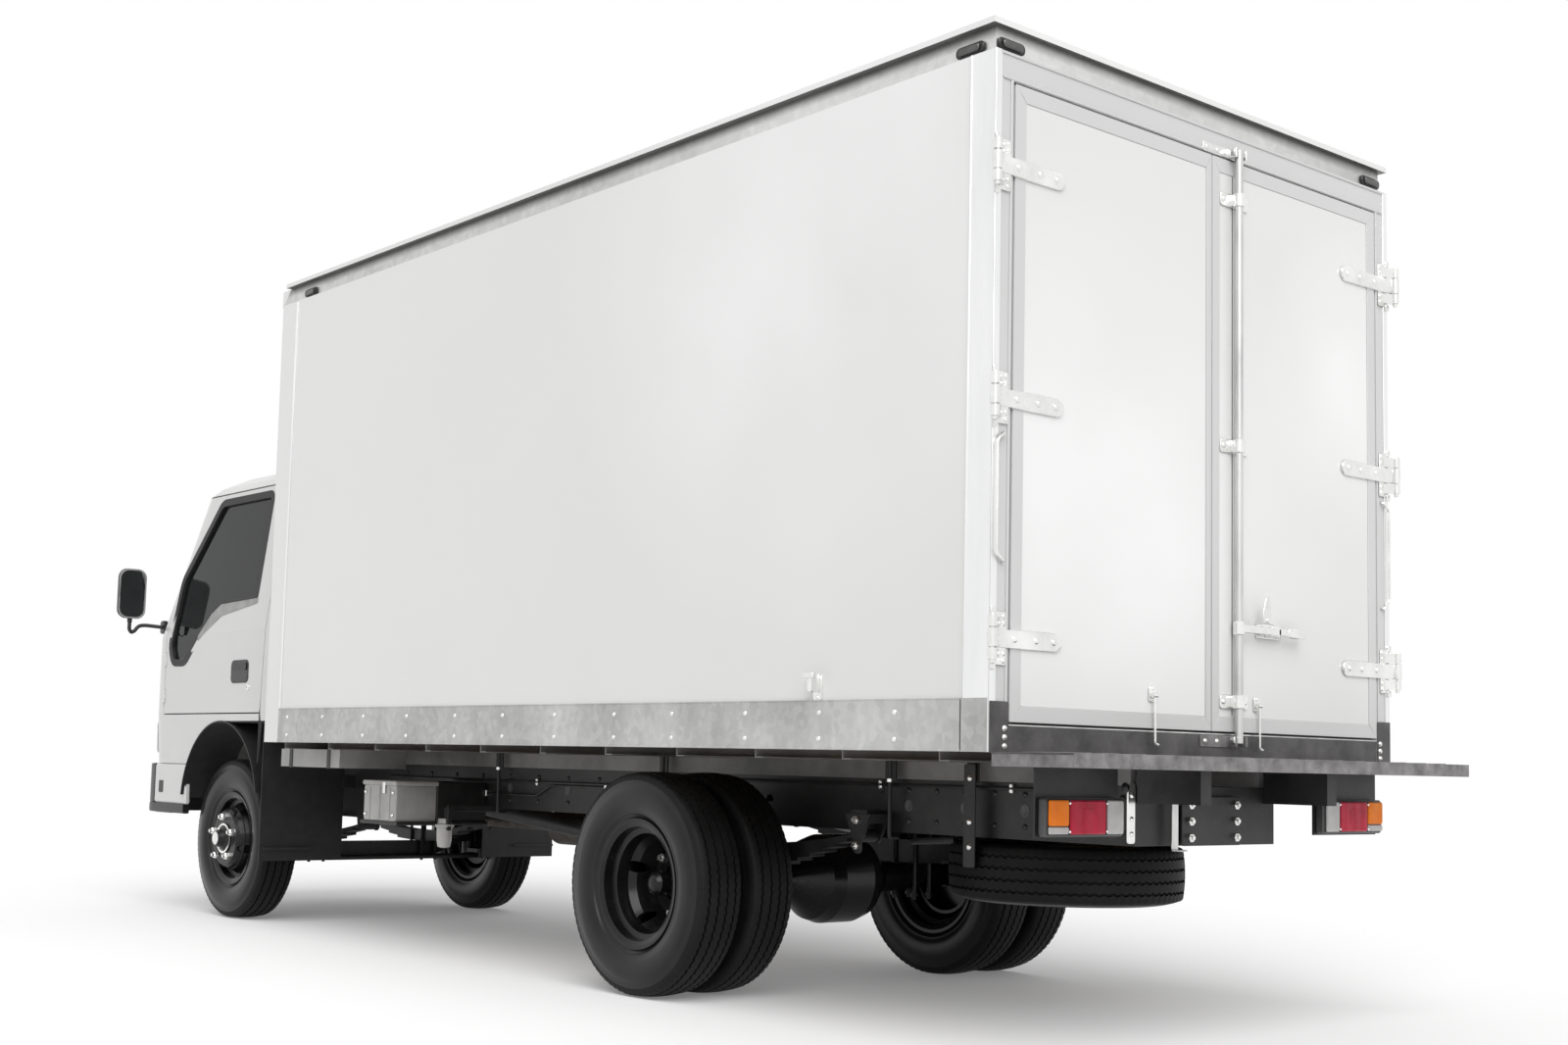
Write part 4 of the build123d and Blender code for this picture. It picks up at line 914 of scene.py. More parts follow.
# %% [markdown]
# ## Corner posts, header and sill
#
# Drawn aluminium angles cover the corners of the box, a beaded header runs over
# the doors, and the sill and the feet of the posts are painted black where feet
# and cargo scrape them.  All are thin covers, so each is a plate.

# %% Corner posts and header
post_low, post_high = corners("rear_frame")
wall_x = corners("side_wall_left")[1][0]
y_frame = post_high[1] - 0.039
z_rail_low, z_post_top = post_low[2], post_high[2]
z_post = (z_rail_low + z_post_top) / 2
post_tall = z_post_top - z_rail_low

post_side = slab(0.0985, post_tall, 0.002, "x", wall_x, wall_x + 0.0030, 0.001, (y_frame - 0.0462, z_post))
post_lip = slab(0.006, post_tall, 0.002, "x", wall_x, wall_x + 0.0048, 0.0008, (y_frame - 0.094, z_post))
post_back = slab(0.026, post_tall, 0.002, "y", y_frame, y_frame + 0.0035, 0.001, (wall_x - 0.010, z_post))
post_inner = slab(0.010, post_tall - 0.15, 0.002, "y", y_frame, y_frame + 0.0045, 0.001,
                  (wall_x - 0.066, z_post))
header_bead = slab(1.95, 0.009, 0.003, "y", y_frame, y_frame + 0.006, 0.002, (0, 2.7905))
header_lip = slab(1.98, 0.008, 0.003, "y", y_frame, y_frame + 0.004, 0.001, (0, z_post_top - 0.006))
front_moulding = slab(0.016, 1.856, 0.004, "x", wall_x, wall_x + 0.004, 0.0012, (-1.312, 1.936))
piece("body_trim", "chassis", {
    "aluminium": both(post_side, post_lip, post_back, front_moulding),
    "door edge": [header_bead, header_lip] + both(post_inner)})
print("wall at", round(wall_x, 4), "frame at", round(y_frame, 4))

# %% Black sill
sill_wide = 1.852
foot_back = slab(0.079, 0.142, 0.002, "y", y_frame + 0.0036, y_frame + 0.0046, 0.0004,
                 (wall_x - 0.0365, z_rail_low + 0.071))
sill_cover = slab(sill_wide, 0.074, 0.002, "y", y_frame, y_frame + 0.0028, 0.0008, (0, z_rail_low + 0.038))
worn_edge = slab(sill_wide, 0.004, 0.0015, "y", y_frame, y_frame + 0.0034, 0.0006,
                 (0, z_rail_low + 0.0765))
foot_bolts = dome_bolts("y", 0.0095, 0.006, [
    (x, y_frame + 0.0045, z) for x in (0.945, -0.945) for z in (0.875, 0.900, 0.925)])
piece("black_sill", "chassis", {"sill black": both(foot_back) + [sill_cover],
                                "bar steel": [worn_edge], "plated": [foot_bolts]})
print("sill", sill_wide, "wide")

# %% [markdown]
# ## Rails, rivets and hinge wings
#
# The side rails are riveted to the frame of the box in two rows.  A rivet head
# is a low dome; there are dozens, so each has only a few faces.  The fixed half
# of each hinge is a winged plate bolted to the corner post, and on the left and
# right post a bent rod serves as a hand grip.

# %% Rivets
rail_x = corners("side_rails")[1][0]
rail_middle, rail_long = 0.79, 4.21
rivet_y = (-1.231, -0.902, -0.541, -0.183, 0.187, 0.528, 0.872, 1.239, 1.566, 1.949, 2.300, 2.629)
rivets = dome_bolts("x", 0.0085, 0.0042, [(rail_x, y, z) for y in rivet_y for z in (0.970, 0.891)])
lip_top = slab(rail_long, 0.004, 0.0015, "x", rail_x - 0.001, rail_x + 0.003, 0.0008, (rail_middle, 1.0065))
lip_low = slab(rail_long, 0.007, 0.002, "x", rail_x - 0.001, rail_x + 0.004, 0.0010, (rail_middle, 0.8625))
rail_joint = slab(0.003, 0.142, 0.001, "x", rail_x - 0.001, rail_x + 0.0008, 0.0, (2.895, 0.933))
piece("rail_rivets", "chassis", {
    "plated": both(rivets), "galvanised": both(lip_top, lip_low), "rubber": both(rail_joint)})
print("rivets", 4 * len(rivet_y))


# %% Hinge wings and hand grips
def hinge_wing(level):
    """Fixed half of one hinge: winged plate, two tongues, four bolts and the pin's ends."""
    face = y_frame + 0.0036
    outer = slab(0.046, 0.150, 0.008, "y", face, face + 0.0036, 0.001, (0.969, level))
    tongues = [slab(0.020, 0.022, 0.004, "y", face, face + 0.0064, 0.001, (1.000, level + dz))
               for dz in (0.078, -0.078)]
    bolts = dome_bolts("y", 0.0085, 0.005, [
        (0.957, face + 0.0036, level + dz) for dz in (-0.062, -0.042, 0.042, 0.062)])
    cap = turned([(0, 0.009), (0.004, 0.008), (0.0075, 0.004)], "z",
                 (hinge_x, hinge_y, level + 0.0625))
    pin_end = turned([(0, 0.008), (-0.010, 0.0075), (-0.012, 0.004)], "z",
                     (hinge_x, hinge_y, level - 0.0622))
    return [outer, *tongues, bolts, cap, pin_end]


wings = [part for level in hinge_levels for part in hinge_wing(level)]
grip_root, grip_out = y_frame + 0.004, y_frame + 0.0125
hand_grip = rod([(0.962, grip_root, 1.7585), (0.962, grip_out, 1.7585), (0.995, grip_out, 1.735),
                 (0.995, grip_out, 1.415), (0.962, grip_out, 1.390), (0.962, grip_root, 1.390)],
                0.005, 0.012)
piece("hinge_wings", "chassis", {"plated": both(*wings, hand_grip)})
print("hinges", 2 * len(hinge_levels))

# %% [markdown]
# ## Lock bar and handle
#
# A tube turns in three guides on the right leaf and hooks into keepers above
# and below the doors.  A flat arm welded to it carries the grip, which a paddle
# catch holds against the leaf.  The bar and its collar are turned, the rest is
# cut from flat steel, so plates and drums say all of it.

# %% Lock bar
bar_x, bar_y = -0.110, y_leaf + 0.022
guide_levels = (1.037, 1.8485, 2.647)
keeper_low, keeper_top = 0.912, 2.800
bar = turned([(0.906, 0.0115), (0.908, 0.0135), (2.811, 0.0135), (2.813, 0.0115)], "z", (bar_x, bar_y, 0))


def bar_guide(level):
    """Guide of the lock bar: base plate, rounded saddle, cheek and two domed bolts."""
    base = slab(0.144, 0.044, 0.010, "y", y_leaf + 0.0002, y_leaf + 0.0042, 0.001, (bar_x, level))
    saddle = drum(level, 0.021, 0.020, (bar_x, bar_y))
    cheek = slab(0.040, 0.038, 0.004, "y", y_leaf + 0.0042, bar_y, 0.001, (bar_x, level))
    bolts = dome_bolts("y", 0.0095, 0.0055, [
        (bar_x + dx, y_leaf + 0.0042, level) for dx in (-0.056, 0.056)])
    return [base, saddle, cheek, bolts]


def cam(level):
    """Hook at an end of the bar: a five-sided plate with a blunt nose."""
    nose = [(-0.012, -0.010), (0.034, -0.010), (0.038, 0), (0.034, 0.010), (-0.012, 0.010)]
    return plate(nose, "y", bar_y - 0.008, bar_y + 0.008, 0.0015, (bar_x, level))


guides = [part for level in guide_levels for part in bar_guide(level)]
cams = [cam(level) for level in (0.917, keeper_top)]
print("lock bar at", bar_x, "guides", len(guide_levels))

# %% Handle and keepers
grip_z, catch_x = 1.268, -0.295
flat_low, flat_high = y_leaf + 0.0330, y_leaf + 0.0390
collar = turned([(1.248, 0.0170), (1.250, 0.0185), (1.288, 0.0185), (1.290, 0.0170)], "z",
                (bar_x, bar_y, 0))
arm = slab(0.205, 0.024, 0.006, "y", flat_low, flat_high, 0.0012, (-0.211, grip_z))
neck = slab(0.064, 0.022, 0.006, "y", flat_low, flat_high, 0.0012, (-0.335, grip_z))
grip = slab(0.100, 0.033, 0.012, "y", flat_low - 0.001, flat_high + 0.001, 0.0030, (-0.402, grip_z))
block = slab(0.134, 0.046, 0.008, "y", y_leaf + 0.0002, y_leaf + 0.0046, 0.0012, (catch_x, grip_z))
block_post = slab(0.046, 0.034, 0.006, "y", y_leaf + 0.0046, y_leaf + 0.0325, 0.0020, (catch_x, grip_z))
block_bolts = dome_bolts("y", 0.0085, 0.005, [
    (catch_x + dx, y_leaf + 0.0046, grip_z) for dx in (-0.052, 0.052)])
paddle = plate([(-0.268, 1.287), (-0.214, 1.292), (-0.208, 1.318), (-0.226, 1.372), (-0.244, 1.378),
                (-0.252, 1.330)], "y", y_leaf + 0.0395, y_leaf + 0.0435, 0.0014)
paddle_pin = turned([(y_leaf + 0.030, 0.008), (y_leaf + 0.047, 0.008), (y_leaf + 0.0485, 0.005)], "y",
                    (-0.238, 0, 1.300))
piece("lock_bar_and_handle", "rear_door_right", {
    "bar steel": [bar] + cams,
    "plated": guides + [collar, arm, grip, neck, block, block_post, block_bolts, paddle, paddle_pin]},
    ("lock_gear",))


def keeper_ears(y_from, x_pair, level):
    """The two upright ears of a keeper, between which a cam turns."""
    return [slab(0.008, 0.032, 0.002, "y", y_from, y_frame + 0.036, 0.001, (x, level)) for x in x_pair]


top_keeper = slab(0.198, 0.030, 0.005, "y", y_frame + 0.0003, y_frame + 0.0053, 0.001, (-0.049, keeper_top))
low_keeper = slab(0.206, 0.036, 0.005, "y", y_frame + 0.0029, y_frame + 0.0064, 0.001, (-0.045, keeper_low))
top_ears = keeper_ears(y_frame + 0.005, (-0.086, -0.138), keeper_top)
low_ears = keeper_ears(y_frame + 0.006, (-0.086, -0.140), keeper_low)
keeper_bolts = dome_bolts("y", 0.0085, 0.005,
                          [(x, y_frame + 0.0053, keeper_top) for x in (-0.025, 0.030)]
                          + [(x, y_frame + 0.0064, keeper_low) for x in (-0.025, 0.035)])
piece("lock_keepers", "chassis", {
    "plated": [top_keeper, keeper_bolts] + top_ears, "step paint": [low_keeper] + low_ears})
print("handle at", grip_z)

# %% [markdown]
# ## Hold-backs and side catches
#
# When a door stands open along the side, a short rod that hangs on the leaf
# drops into a catch on the wall.  The rod is bent bar, so it is a path with a
# radius, and the catch is three small plates.


# %% Hold-back rods and side catches
def hold_back(x, plate_z, length):
    """Hold-back of a door: small plate, eye and a hanging rod with a bent foot."""
    base = slab(0.030, 0.048, 0.006, "y", y_leaf + 0.0002, y_leaf + 0.0036, 0.001, (x, plate_z))
    eye = turned([(x - 0.010, 0.0075), (x + 0.010, 0.0075)], "x", (0, y_leaf + 0.0115, plate_z - 0.004))
    hanger = rod([(x, y_leaf + 0.0125, plate_z), (x, y_leaf + 0.0130, plate_z - length),
                  (x - 0.016, y_leaf + 0.0130, plate_z - length - 0.004)], 0.0042, 0.007)
    bolts = dome_bolts("y", 0.005, 0.003, [(x, y_leaf + 0.0036, plate_z + dz) for dz in (-0.017, 0.017)])
    return [base, eye, hanger, bolts]


piece("hold_back_left", "rear_door_left", {"plated": hold_back(0.296, 1.046, 0.148)})
piece("hold_back_right", "rear_door_right", {"plated": hold_back(-0.232, 1.033, 0.140)})
catch_y, catch_z = 2.291, 1.049
catch_base = slab(0.040, 0.082, 0.006, "x", wall_x + 0.0002, wall_x + 0.0042, 0.001, (catch_y, catch_z))
catch_arm = slab(0.018, 0.052, 0.006, "x", wall_x + 0.004, wall_x + 0.040, 0.002, (catch_y, 1.058))
catch_hook = slab(0.046, 0.018, 0.006, "x", wall_x + 0.030, wall_x + 0.046, 0.002, (catch_y, 1.083))
catch_bolts = dome_bolts("x", 0.0065, 0.004, [
    (wall_x + 0.0042, catch_y, catch_z + dz) for dz in (-0.032, 0.032)])
piece("door_catches", "chassis", {"plated": both(catch_base, catch_arm, catch_hook, catch_bolts)})
print("catches at", catch_y)

# %% [markdown]
# ## Tail lamps and marker lamps
#
# A tail lamp is a grey moulded housing with press-in lenses: amber with a clear
# foot at the outer end, red in the middle and clear inside.  Lens ribs are in
# the material; the rim and the gaps between the lenses are real shapes.

# %% Tail lamps
lamp_low, lamp_high = corners("tail_lamps")
lamp_x, lamp_z = 0.675, (lamp_low[2] + lamp_high[2]) / 2
y_lamp = lamp_low[1]
amber_x, red_x, clear_x = lamp_x + 0.1205, lamp_x - 0.0050, lamp_x - 0.1250
lens_from = y_lamp + 0.0310
housing = slab(0.340, 0.110, 0.010, "y", y_lamp, y_lamp + 0.0300, 0.004, (lamp_x, lamp_z))
rim = slab(0.332, 0.102, 0.008, "y", y_lamp + 0.0290, y_lamp + 0.0330, 0.002, (lamp_x, lamp_z))
amber = slab(0.084, 0.072, 0.005, "y", lens_from, y_lamp + 0.0398, 0.003, (amber_x, lamp_z + 0.012))
amber_foot = slab(0.084, 0.020, 0.004, "y", lens_from, y_lamp + 0.0392, 0.003, (amber_x, lamp_z - 0.0370))
red = slab(0.156, 0.096, 0.006, "y", lens_from, y_lamp + 0.0400, 0.004, (red_x, lamp_z))
reflector = slab(0.050, 0.050, 0.006, "y", y_lamp + 0.0390, y_lamp + 0.0412, 0.001, (red_x, lamp_z))
clear = slab(0.072, 0.096, 0.005, "y", lens_from, y_lamp + 0.0396, 0.003, (clear_x, lamp_z))
screws = dome_bolts("y", 0.0045, 0.002, [
    (lamp_x + dx, y_lamp + 0.0395, lamp_z + dz) for dx in (0.076, -0.086) for dz in (-0.040, 0.040)])
pair("tail_lamp", "chassis", {
    "tank grey": [housing], "black plastic": [rim], "amber lens": [amber],
    "red lens": [red, reflector], "white lens": [clear, amber_foot], "plated": [screws]}, ("tail_lamps",))
print("tail lamps at", lamp_x)


# %% Marker lamps
def marker(axis, low, at):
    """Bezel and lens of one marker lamp, standing out from a level along an axis."""
    bezel = slab(0.112, 0.034, 0.014, axis, low, low + 0.0103, 0.003, at)
    cover = slab(0.086, 0.024, 0.010, axis, low + 0.0093, low + 0.0173, 0.004, at)
    return bezel, cover


marker_z = 2.8935
markers = [marker("x", 0.9872, (y, marker_z)) for y in (-1.213, 2.884)]
markers.append(marker("y", 2.9812, (0.928, marker_z)))
bezels, covers = zip(*markers)
piece("marker_lamp_lenses", "chassis", {
    "black plastic": both(*bezels), "smoked lens": both(*covers)}, ("marker_lamps",))
print("marker lamps", 2 * len(markers))

# %% [markdown]
# ## Cab: windows and door seams
#
# The side window sits in a black rubber surround that follows its kinked lower
# edge, with a grey moulding along the rear half.  The door wall leans inwards
# above the waist, so each piece takes its x from the height, as the wall does.
# Behind the door a rubber seal shows as a dark line where the door meets the
# cab; it stays with the cab, so it doesn't move with the door.

# %% Cab wall, and outlines on it
waist_z, eaves_z, crease_z = 1.400, 2.110, 1.000
waist_x, eaves_x, crease_x = 0.845, 0.783, 0.843
y_axle_front = centre_of("tyre_front_left")[1]


def cab_wall_x(z):
    """Outside of the cab wall at a height: straight between crease, waist and eaves."""
    return np.interp(z, [crease_z, waist_z, eaves_z], [crease_x, waist_x, eaves_x])


def on_wall(outline, depth):
    """A (y, z) outline put on the cab wall, at a depth out from it."""
    return np.stack([cab_wall_x(outline[:, 1]) + depth, outline[:, 0], outline[:, 1]], -1)


def eased(corner_points, bend):
    """Closed outline with each corner swapped for five points of a quadratic curve.

    The curve leaves each edge at the bend's length from the corner.
    """
    points = np.asarray(corner_points, dtype=float)
    before, after = np.roll(points, 1, axis=0), np.roll(points, -1, axis=0)
    a = points + (before - points) / np.linalg.norm(before - points, axis=1)[:, None] * bend
    c = points + (after - points) / np.linalg.norm(after - points, axis=1)[:, None] * bend
    t = np.linspace(0, 1, 5)[:, None, None]
    return ((1 - t) ** 2 * a + 2 * t * (1 - t) * points + t ** 2 * c).transpose(1, 0, 2).reshape(-1, 2)


def inset(outline, distance):
    """Closed outline moved along its own normals; a positive distance goes inwards."""
    along = np.roll(outline, -1, axis=0) - np.roll(outline, 1, axis=0)
    along /= np.linalg.norm(along, axis=1)[:, None]
    normal = np.stack([-along[:, 1], along[:, 0]], -1)
    y, z = outline.T
    area = np.sum(y * np.roll(z, -1) - z * np.roll(y, -1))
    return outline + normal * distance * math.copysign(1, area)


def band(outline, wide, low, high):
    """Strip along a closed (y, z) outline on the cab wall, between two depths from it."""
    inner = inset(outline, wide)
    return skin([on_wall(outline, low), on_wall(outline, high), on_wall(inner, high), on_wall(inner, low)],
                loop=True)


print("wall at the waist", waist_x, "at the eaves", eaves_x)

# %% Window surrounds and door seals
window_corners = np.array([
    (0.313, 1.545), (-0.074, 1.533), (-0.160, 1.494), (-0.450, 1.258), (-0.595, 1.262),
    (-0.635, 1.339), (-0.563, 1.686), (-0.203, 2.060), (0.360, 2.060)])
window = eased(window_corners + (y_axle_front, 0), 0.034)
surround = band(inset(window, -0.020), 0.036, -0.016, 0.0015)
glass_edge = band(inset(window, -0.001), 0.022, -0.0155, -0.0125)
moulding_outline = np.array([
    (0.335, 1.527), (-0.074, 1.513), (-0.176, 1.468), (-0.300, 1.366), (-0.300, 1.388),
    (-0.166, 1.495), (-0.066, 1.539), (0.335, 1.551)]) + (y_axle_front, 0)
moulding = skin([on_wall(moulding_outline, depth) for depth in (-0.004, 0.003)])
pair("window_surround", "cab_door_{}", {
    "rubber": [surround], "gloss black": [glass_edge], "trim grey": [moulding]})
seam_outline = np.array([
    (0.4235, 0.760), (0.4305, 0.760), (0.4305, 1.000), (0.5125, 2.100), (0.5055, 2.100),
    (0.4235, 1.000)]) + (y_axle_front, 0)
seam = skin([on_wall(seam_outline, depth) for depth in (-0.004, 0.0012)])
piece("door_seals", "cab", {"rubber": both(seam)})
print("window outline points", len(window))

# %% [markdown]
# ## Cab door handles
#
# Each handle is a lift-up lever in a black moulded pocket, with a plated lock
# cylinder below and behind it.  All of them are flat rounded shapes one on the
# other, so each is a plate with its own corner radius.

# %% Door handles and locks
handle_y, handle_z = y_axle_front + 0.196, 1.199
handle_x = float(cab_wall_x(handle_z))
lock_y, lock_z = y_axle_front + 0.292, 1.120
bezel = plate(rounded(0.190, 0.112, 0.026, 6), "x", handle_x - 0.002, handle_x + 0.0030, 0.0020,
              (handle_y, handle_z))
pocket = plate(rounded(0.172, 0.094, 0.020, 6), "x", handle_x + 0.0010, handle_x + 0.0034, 0.0008,
               (handle_y, handle_z))
lever = slab(0.160, 0.036, 0.010, "x", handle_x + 0.0030, handle_x + 0.0085, 0.0022,
             (handle_y, handle_z + 0.024))
dark_line = slab(0.164, 0.005, 0.002, "x", handle_x + 0.0030, handle_x + 0.0040, 0.0, (handle_y, handle_z))
lock = turned([(handle_x - 0.001, 0.0165), (handle_x + 0.004, 0.0160), (handle_x + 0.0065, 0.0110)], "x",
              (0, lock_y, lock_z))
lock_slot = slab(0.0025, 0.012, 0.001, "x", handle_x + 0.0060, handle_x + 0.0070, 0.0, (lock_y, lock_z))
pair("door_handle", "cab_door_{}", {
    "black plastic": [bezel, lever], "gloss black": [pocket, dark_line, lock_slot], "plated": [lock]})
print("handle wall at", round(handle_x, 4))

# %% [markdown]
# ## Mirrors
#
# A mirror is a blown plastic housing, dished at the back, with a lipped edge
# that holds the glass, on a bent tube bolted to the cab.  The housing is one
# rounded outline at growing scales, and the tube is a rod with soft corners.

# %% Mirrors
mirror_low, mirror_high = corners("mirrors")
head_x, head_y, head_z = 0.982, (mirror_low[1] + mirror_high[1]) / 2, 1.622
head_wide, head_tall = 0.150, 0.262
stay_z = 1.455


def head_ring(trim, scale, depth):
    """Outline of the mirror head, trimmed and then scaled, at a depth behind or before it."""
    outline = rounded(head_wide - trim, head_tall - trim, 0.045, 7) * scale
    return placed(outline + (head_x, head_z), "y", head_y + depth)


housing = skin([head_ring(0, scale, depth) for depth, scale in (
    (-0.026, 0.55), (-0.024, 0.72), (-0.016, 0.88), (0.000, 0.97), (0.014, 1.0), (0.020, 0.985))])
lip = skin([head_ring(trim, 1.0, depth) for trim, depth in (
    (0.004, 0.0185), (0.004, 0.0225), (0.018, 0.0225), (0.018, 0.0185))], loop=True)
mirror_face = plate(rounded(0.134, 0.246, 0.038, 7), "y", head_y + 0.0195, head_y + 0.0210, 0.0006,
                    (head_x, head_z))
stay = rod([(head_x, head_y, head_z - 0.11), (head_x, head_y, 1.424), (head_x - 0.026, head_y, 1.421),
            (head_x - 0.046, head_y, 1.456), (head_x - 0.080, head_y + 0.004, 1.462),
            (0.806, head_y + 0.030, stay_z)], 0.0098, 0.020, 12)
foot = slab(0.052, 0.070, 0.014, "x", 0.794, 0.818, 0.004, (head_y + 0.032, stay_z))
clamp = turned([(head_z - 0.150, 0.0120), (head_z - 0.110, 0.0135)], "z", (head_x, head_y, 0))
pair("mirror", "cab", {
    "gloss black": [housing, foot], "mirror glass": [mirror_face], "chassis black": [stay, clamp],
    "trim grey": [lip]}, ("mirrors",))
print("mirror head at", head_x, round(head_y, 3), head_z)

# %% [markdown]
# ## Bumper and wheel arches
#
# The bumper is a black moulding that wraps round the front corners, with a
# painted panel from there to the wheel arch and a black valance under both.  A
# moulding is a rounded section carried along a U-shaped path.  The arch liner
# is a thin rubber band carried round an arc, with a bead at its outer edge.

# %% Bumper
bumper_low = corners("front_bumper")[0]
y_front = bumper_low[1]
arch_y, arch_z = y_axle_front, 0.530


def u_moulding(half_width, front, rear, corner, low, high, thick, soft):
    """Upright section carried round the front of the cab: back, corner, front, corner, back.

    The corner is a quarter circle.  Each ring is a rounded rectangle, thick by high - low,
    standing on the path's normal.
    """
    angle = np.linspace(0, np.pi / 2, 10)
    turn_x = half_width - corner + corner * np.cos(angle)
    turn_y = front + corner - corner * np.sin(angle)
    x = np.concatenate([[half_width], turn_x, -turn_x[::-1], [-half_width]])
    y = np.concatenate([[rear], turn_y, turn_y[::-1], [rear]])
    path = np.stack([x, y], -1)
    along = np.gradient(path, axis=0)
    along /= np.linalg.norm(along, axis=1)[:, None]
    outward = np.stack([along[:, 1], -along[:, 0]], -1)
    section = rounded(thick, high - low, soft, 4)
    flat = path[:, None] + outward[:, None] * (section[None, :, :1] + thick / 2)
    height = np.broadcast_to(section[None, :, 1:] + (low + high) / 2, flat.shape[:2] + (1,))
    return skin(np.concatenate([flat, height], -1))


upper = u_moulding(0.829, y_front + 0.004, y_front + 0.232, 0.225, 0.540, 0.743, 0.030, 0.008)
lower = u_moulding(0.828, y_front, arch_y - 0.425, 0.220, 0.492, 0.542, 0.034, 0.008)
panel_front, panel_rear = y_front + 0.234, arch_y - 0.405
side_panel = slab(panel_rear - panel_front, 0.203, 0.008, "x", 0.799, 0.829, 0.008,
                  ((panel_rear + panel_front) / 2, 0.6415))
corner_flash = slab(0.052, 0.062, 0.006, "x", 0.8285, 0.8310, 0.0008, (-2.985, 0.625))
fog_lamps = [slab(0.150, 0.062, 0.016, "y", y_front + 0.0080, y_front + 0.0015, 0.0016, (x, 0.640))
             for x in (0.43, -0.43)]
piece("bumper_moulding", "chassis", {
    "cab enamel": both(side_panel), "black plastic": [upper, lower] + both(corner_flash),
    "clear lens": fog_lamps}, ("front_bumper",))
print("bumper front at", round(y_front, 3))


# %% Arch liners and mudflap bars
def arch_band(radius, thick, x_low, x_high, start, end):
    """Thin band round an arc of the wheel arch, closed at both ends."""
    angle = np.radians(np.linspace(start, end, 30))
    section = np.array([(radius, x_low), (radius + thick, x_low), (radius + thick, x_high), (radius, x_high)])
    rings = np.empty((len(angle), 4, 3))
    rings[..., 0] = section[:, 1]
    rings[..., 1] = arch_y + section[:, 0] * np.cos(angle)[:, None]
    rings[..., 2] = arch_z + section[:, 0] * np.sin(angle)[:, None]
    return skin(rings)


flap_x, flap_y, flap_bar_z = 0.70, -1.8045, 0.880
liner = arch_band(0.4205, 0.004, 0.585, 0.826, 8, 174)
beading = arch_band(0.4245, 0.007, 0.826, 0.8445, 12, 172)
flap_rib = slab(0.240, 0.012, 0.004, "y", flap_y, flap_y + 0.0045, 0.0012, (flap_x, 0.360))
flap_bar = slab(0.250, 0.034, 0.004, "y", flap_y, flap_y + 0.0060, 0.0012, (flap_x, flap_bar_z))
flap_bolts = dome_bolts("y", 0.0075, 0.004, [(x, flap_y + 0.0060, flap_bar_z) for x in (0.60, 0.70, 0.80)])
pair("arch_liner", "chassis", {
    "rubber": [liner, beading, flap_rib], "chassis black": [flap_bar], "plated": [flap_bolts]})
print("arch centre", round(arch_y, 3), arch_z)

# %% [markdown]
# ## Front details
#
# The grille has five grey slats, two wipers rest on the screen, and a shallow
# raised panel stiffens the cab roof.  Slats are plates, a wiper arm and its
# blade are thin rods in the plane of the screen, and the panel is one rounded
# outline that shrinks as it rises.

# %% Grille slats, wipers and roof panel
grille_low, grille_high = corners("grille")
slats = [slab(0.960, 0.014, 0.005, "y", grille_low[1] + 0.0012, grille_low[1] - 0.0008, 0.0, (0, z))
         for z in np.linspace(grille_low[2] + 0.022, grille_high[2] - 0.022, 5)]
piece("grille_slats", "cab", {"trim grey": slats})
wiper_y = -3.216


def wiper(x_pivot, reach):
    """Wiper on the screen: bent arm, blade and pivot cap, all in one raked plane."""
    root = np.array([x_pivot, wiper_y, 1.418])
    tip = np.array([x_pivot + reach, -3.150, 1.545])
    half_blade = np.array([reach * 0.42, 0.004, 0.012])
    arm = rod([root, root * 0.4 + tip * 0.6, tip], 0.0055, 0.02, 8)
    blade = rod([tip + half_blade, tip, tip - half_blade], 0.0045, 0.01, 6)
    cap = turned([(1.405, 0.017), (1.428, 0.015), (1.432, 0.006)], "z", (x_pivot, wiper_y, 0))
    return [arm, blade, cap]


piece("wipers", "cab", {"black plastic": wiper(0.45, -0.30) + wiper(-0.20, -0.30)})
roof_panel = skin([placed(rounded(1.02 - trim, 0.86 - trim, 0.12, 6) + (0, -2.03), "z", z)
                   for trim, z in ((0, 2.170), (0.004, 2.196), (0.03, 2.206), (0.07, 2.210))])
piece("cab_roof_panel", "cab", {"cab enamel": [roof_panel]})
print("slats", len(slats))

# %% [markdown]
# ## Underneath: frame, springs and body mounts
#
# Hidden parts still show between the wheels: rows of bolts on the frame rail,
# two pipes clipped along it, spring clamps with their nuts, and the long bolts
# and plates that hold the box's floor down on the frame.  Each is a plate, a
# rod or a turned head set out in rows from a few named places.

# %% Frame bolts and pipes
rail_face = 0.3503
pipe_x, air_x = rail_face + 0.008, rail_face + 0.010
bolt_y = np.concatenate([np.arange(-1.30, 0.55, 0.22), np.arange(1.90, 2.95, 0.13)])
frame_bolts = dome_bolts("x", 0.010, 0.007, [(rail_face, y, z) for y in bolt_y for z in (0.630, 0.732)])
web_hole = turned([(0, 0.020), (0.0012, 0.020), (0.0012, 0.012), (0.0008, 0.011)], "x", sides=16)
web_holes = copies(web_hole, [(rail_face, y, 0.681) for y in bolt_y[::2]])
brake_pipe = rod([(pipe_x, -1.55, 0.655), (pipe_x, -0.20, 0.655), (pipe_x, -0.10, 0.700),
                  (pipe_x, 0.62, 0.700), (pipe_x + 0.004, 0.70, 0.640), (pipe_x + 0.004, 0.98, 0.600)],
                 0.0045, 0.03, 8)
air_pipe = rod([(air_x, -1.45, 0.712), (air_x, 0.40, 0.712), (air_x, 0.52, 0.750), (air_x, 2.80, 0.750)],
               0.0055, 0.04, 8)
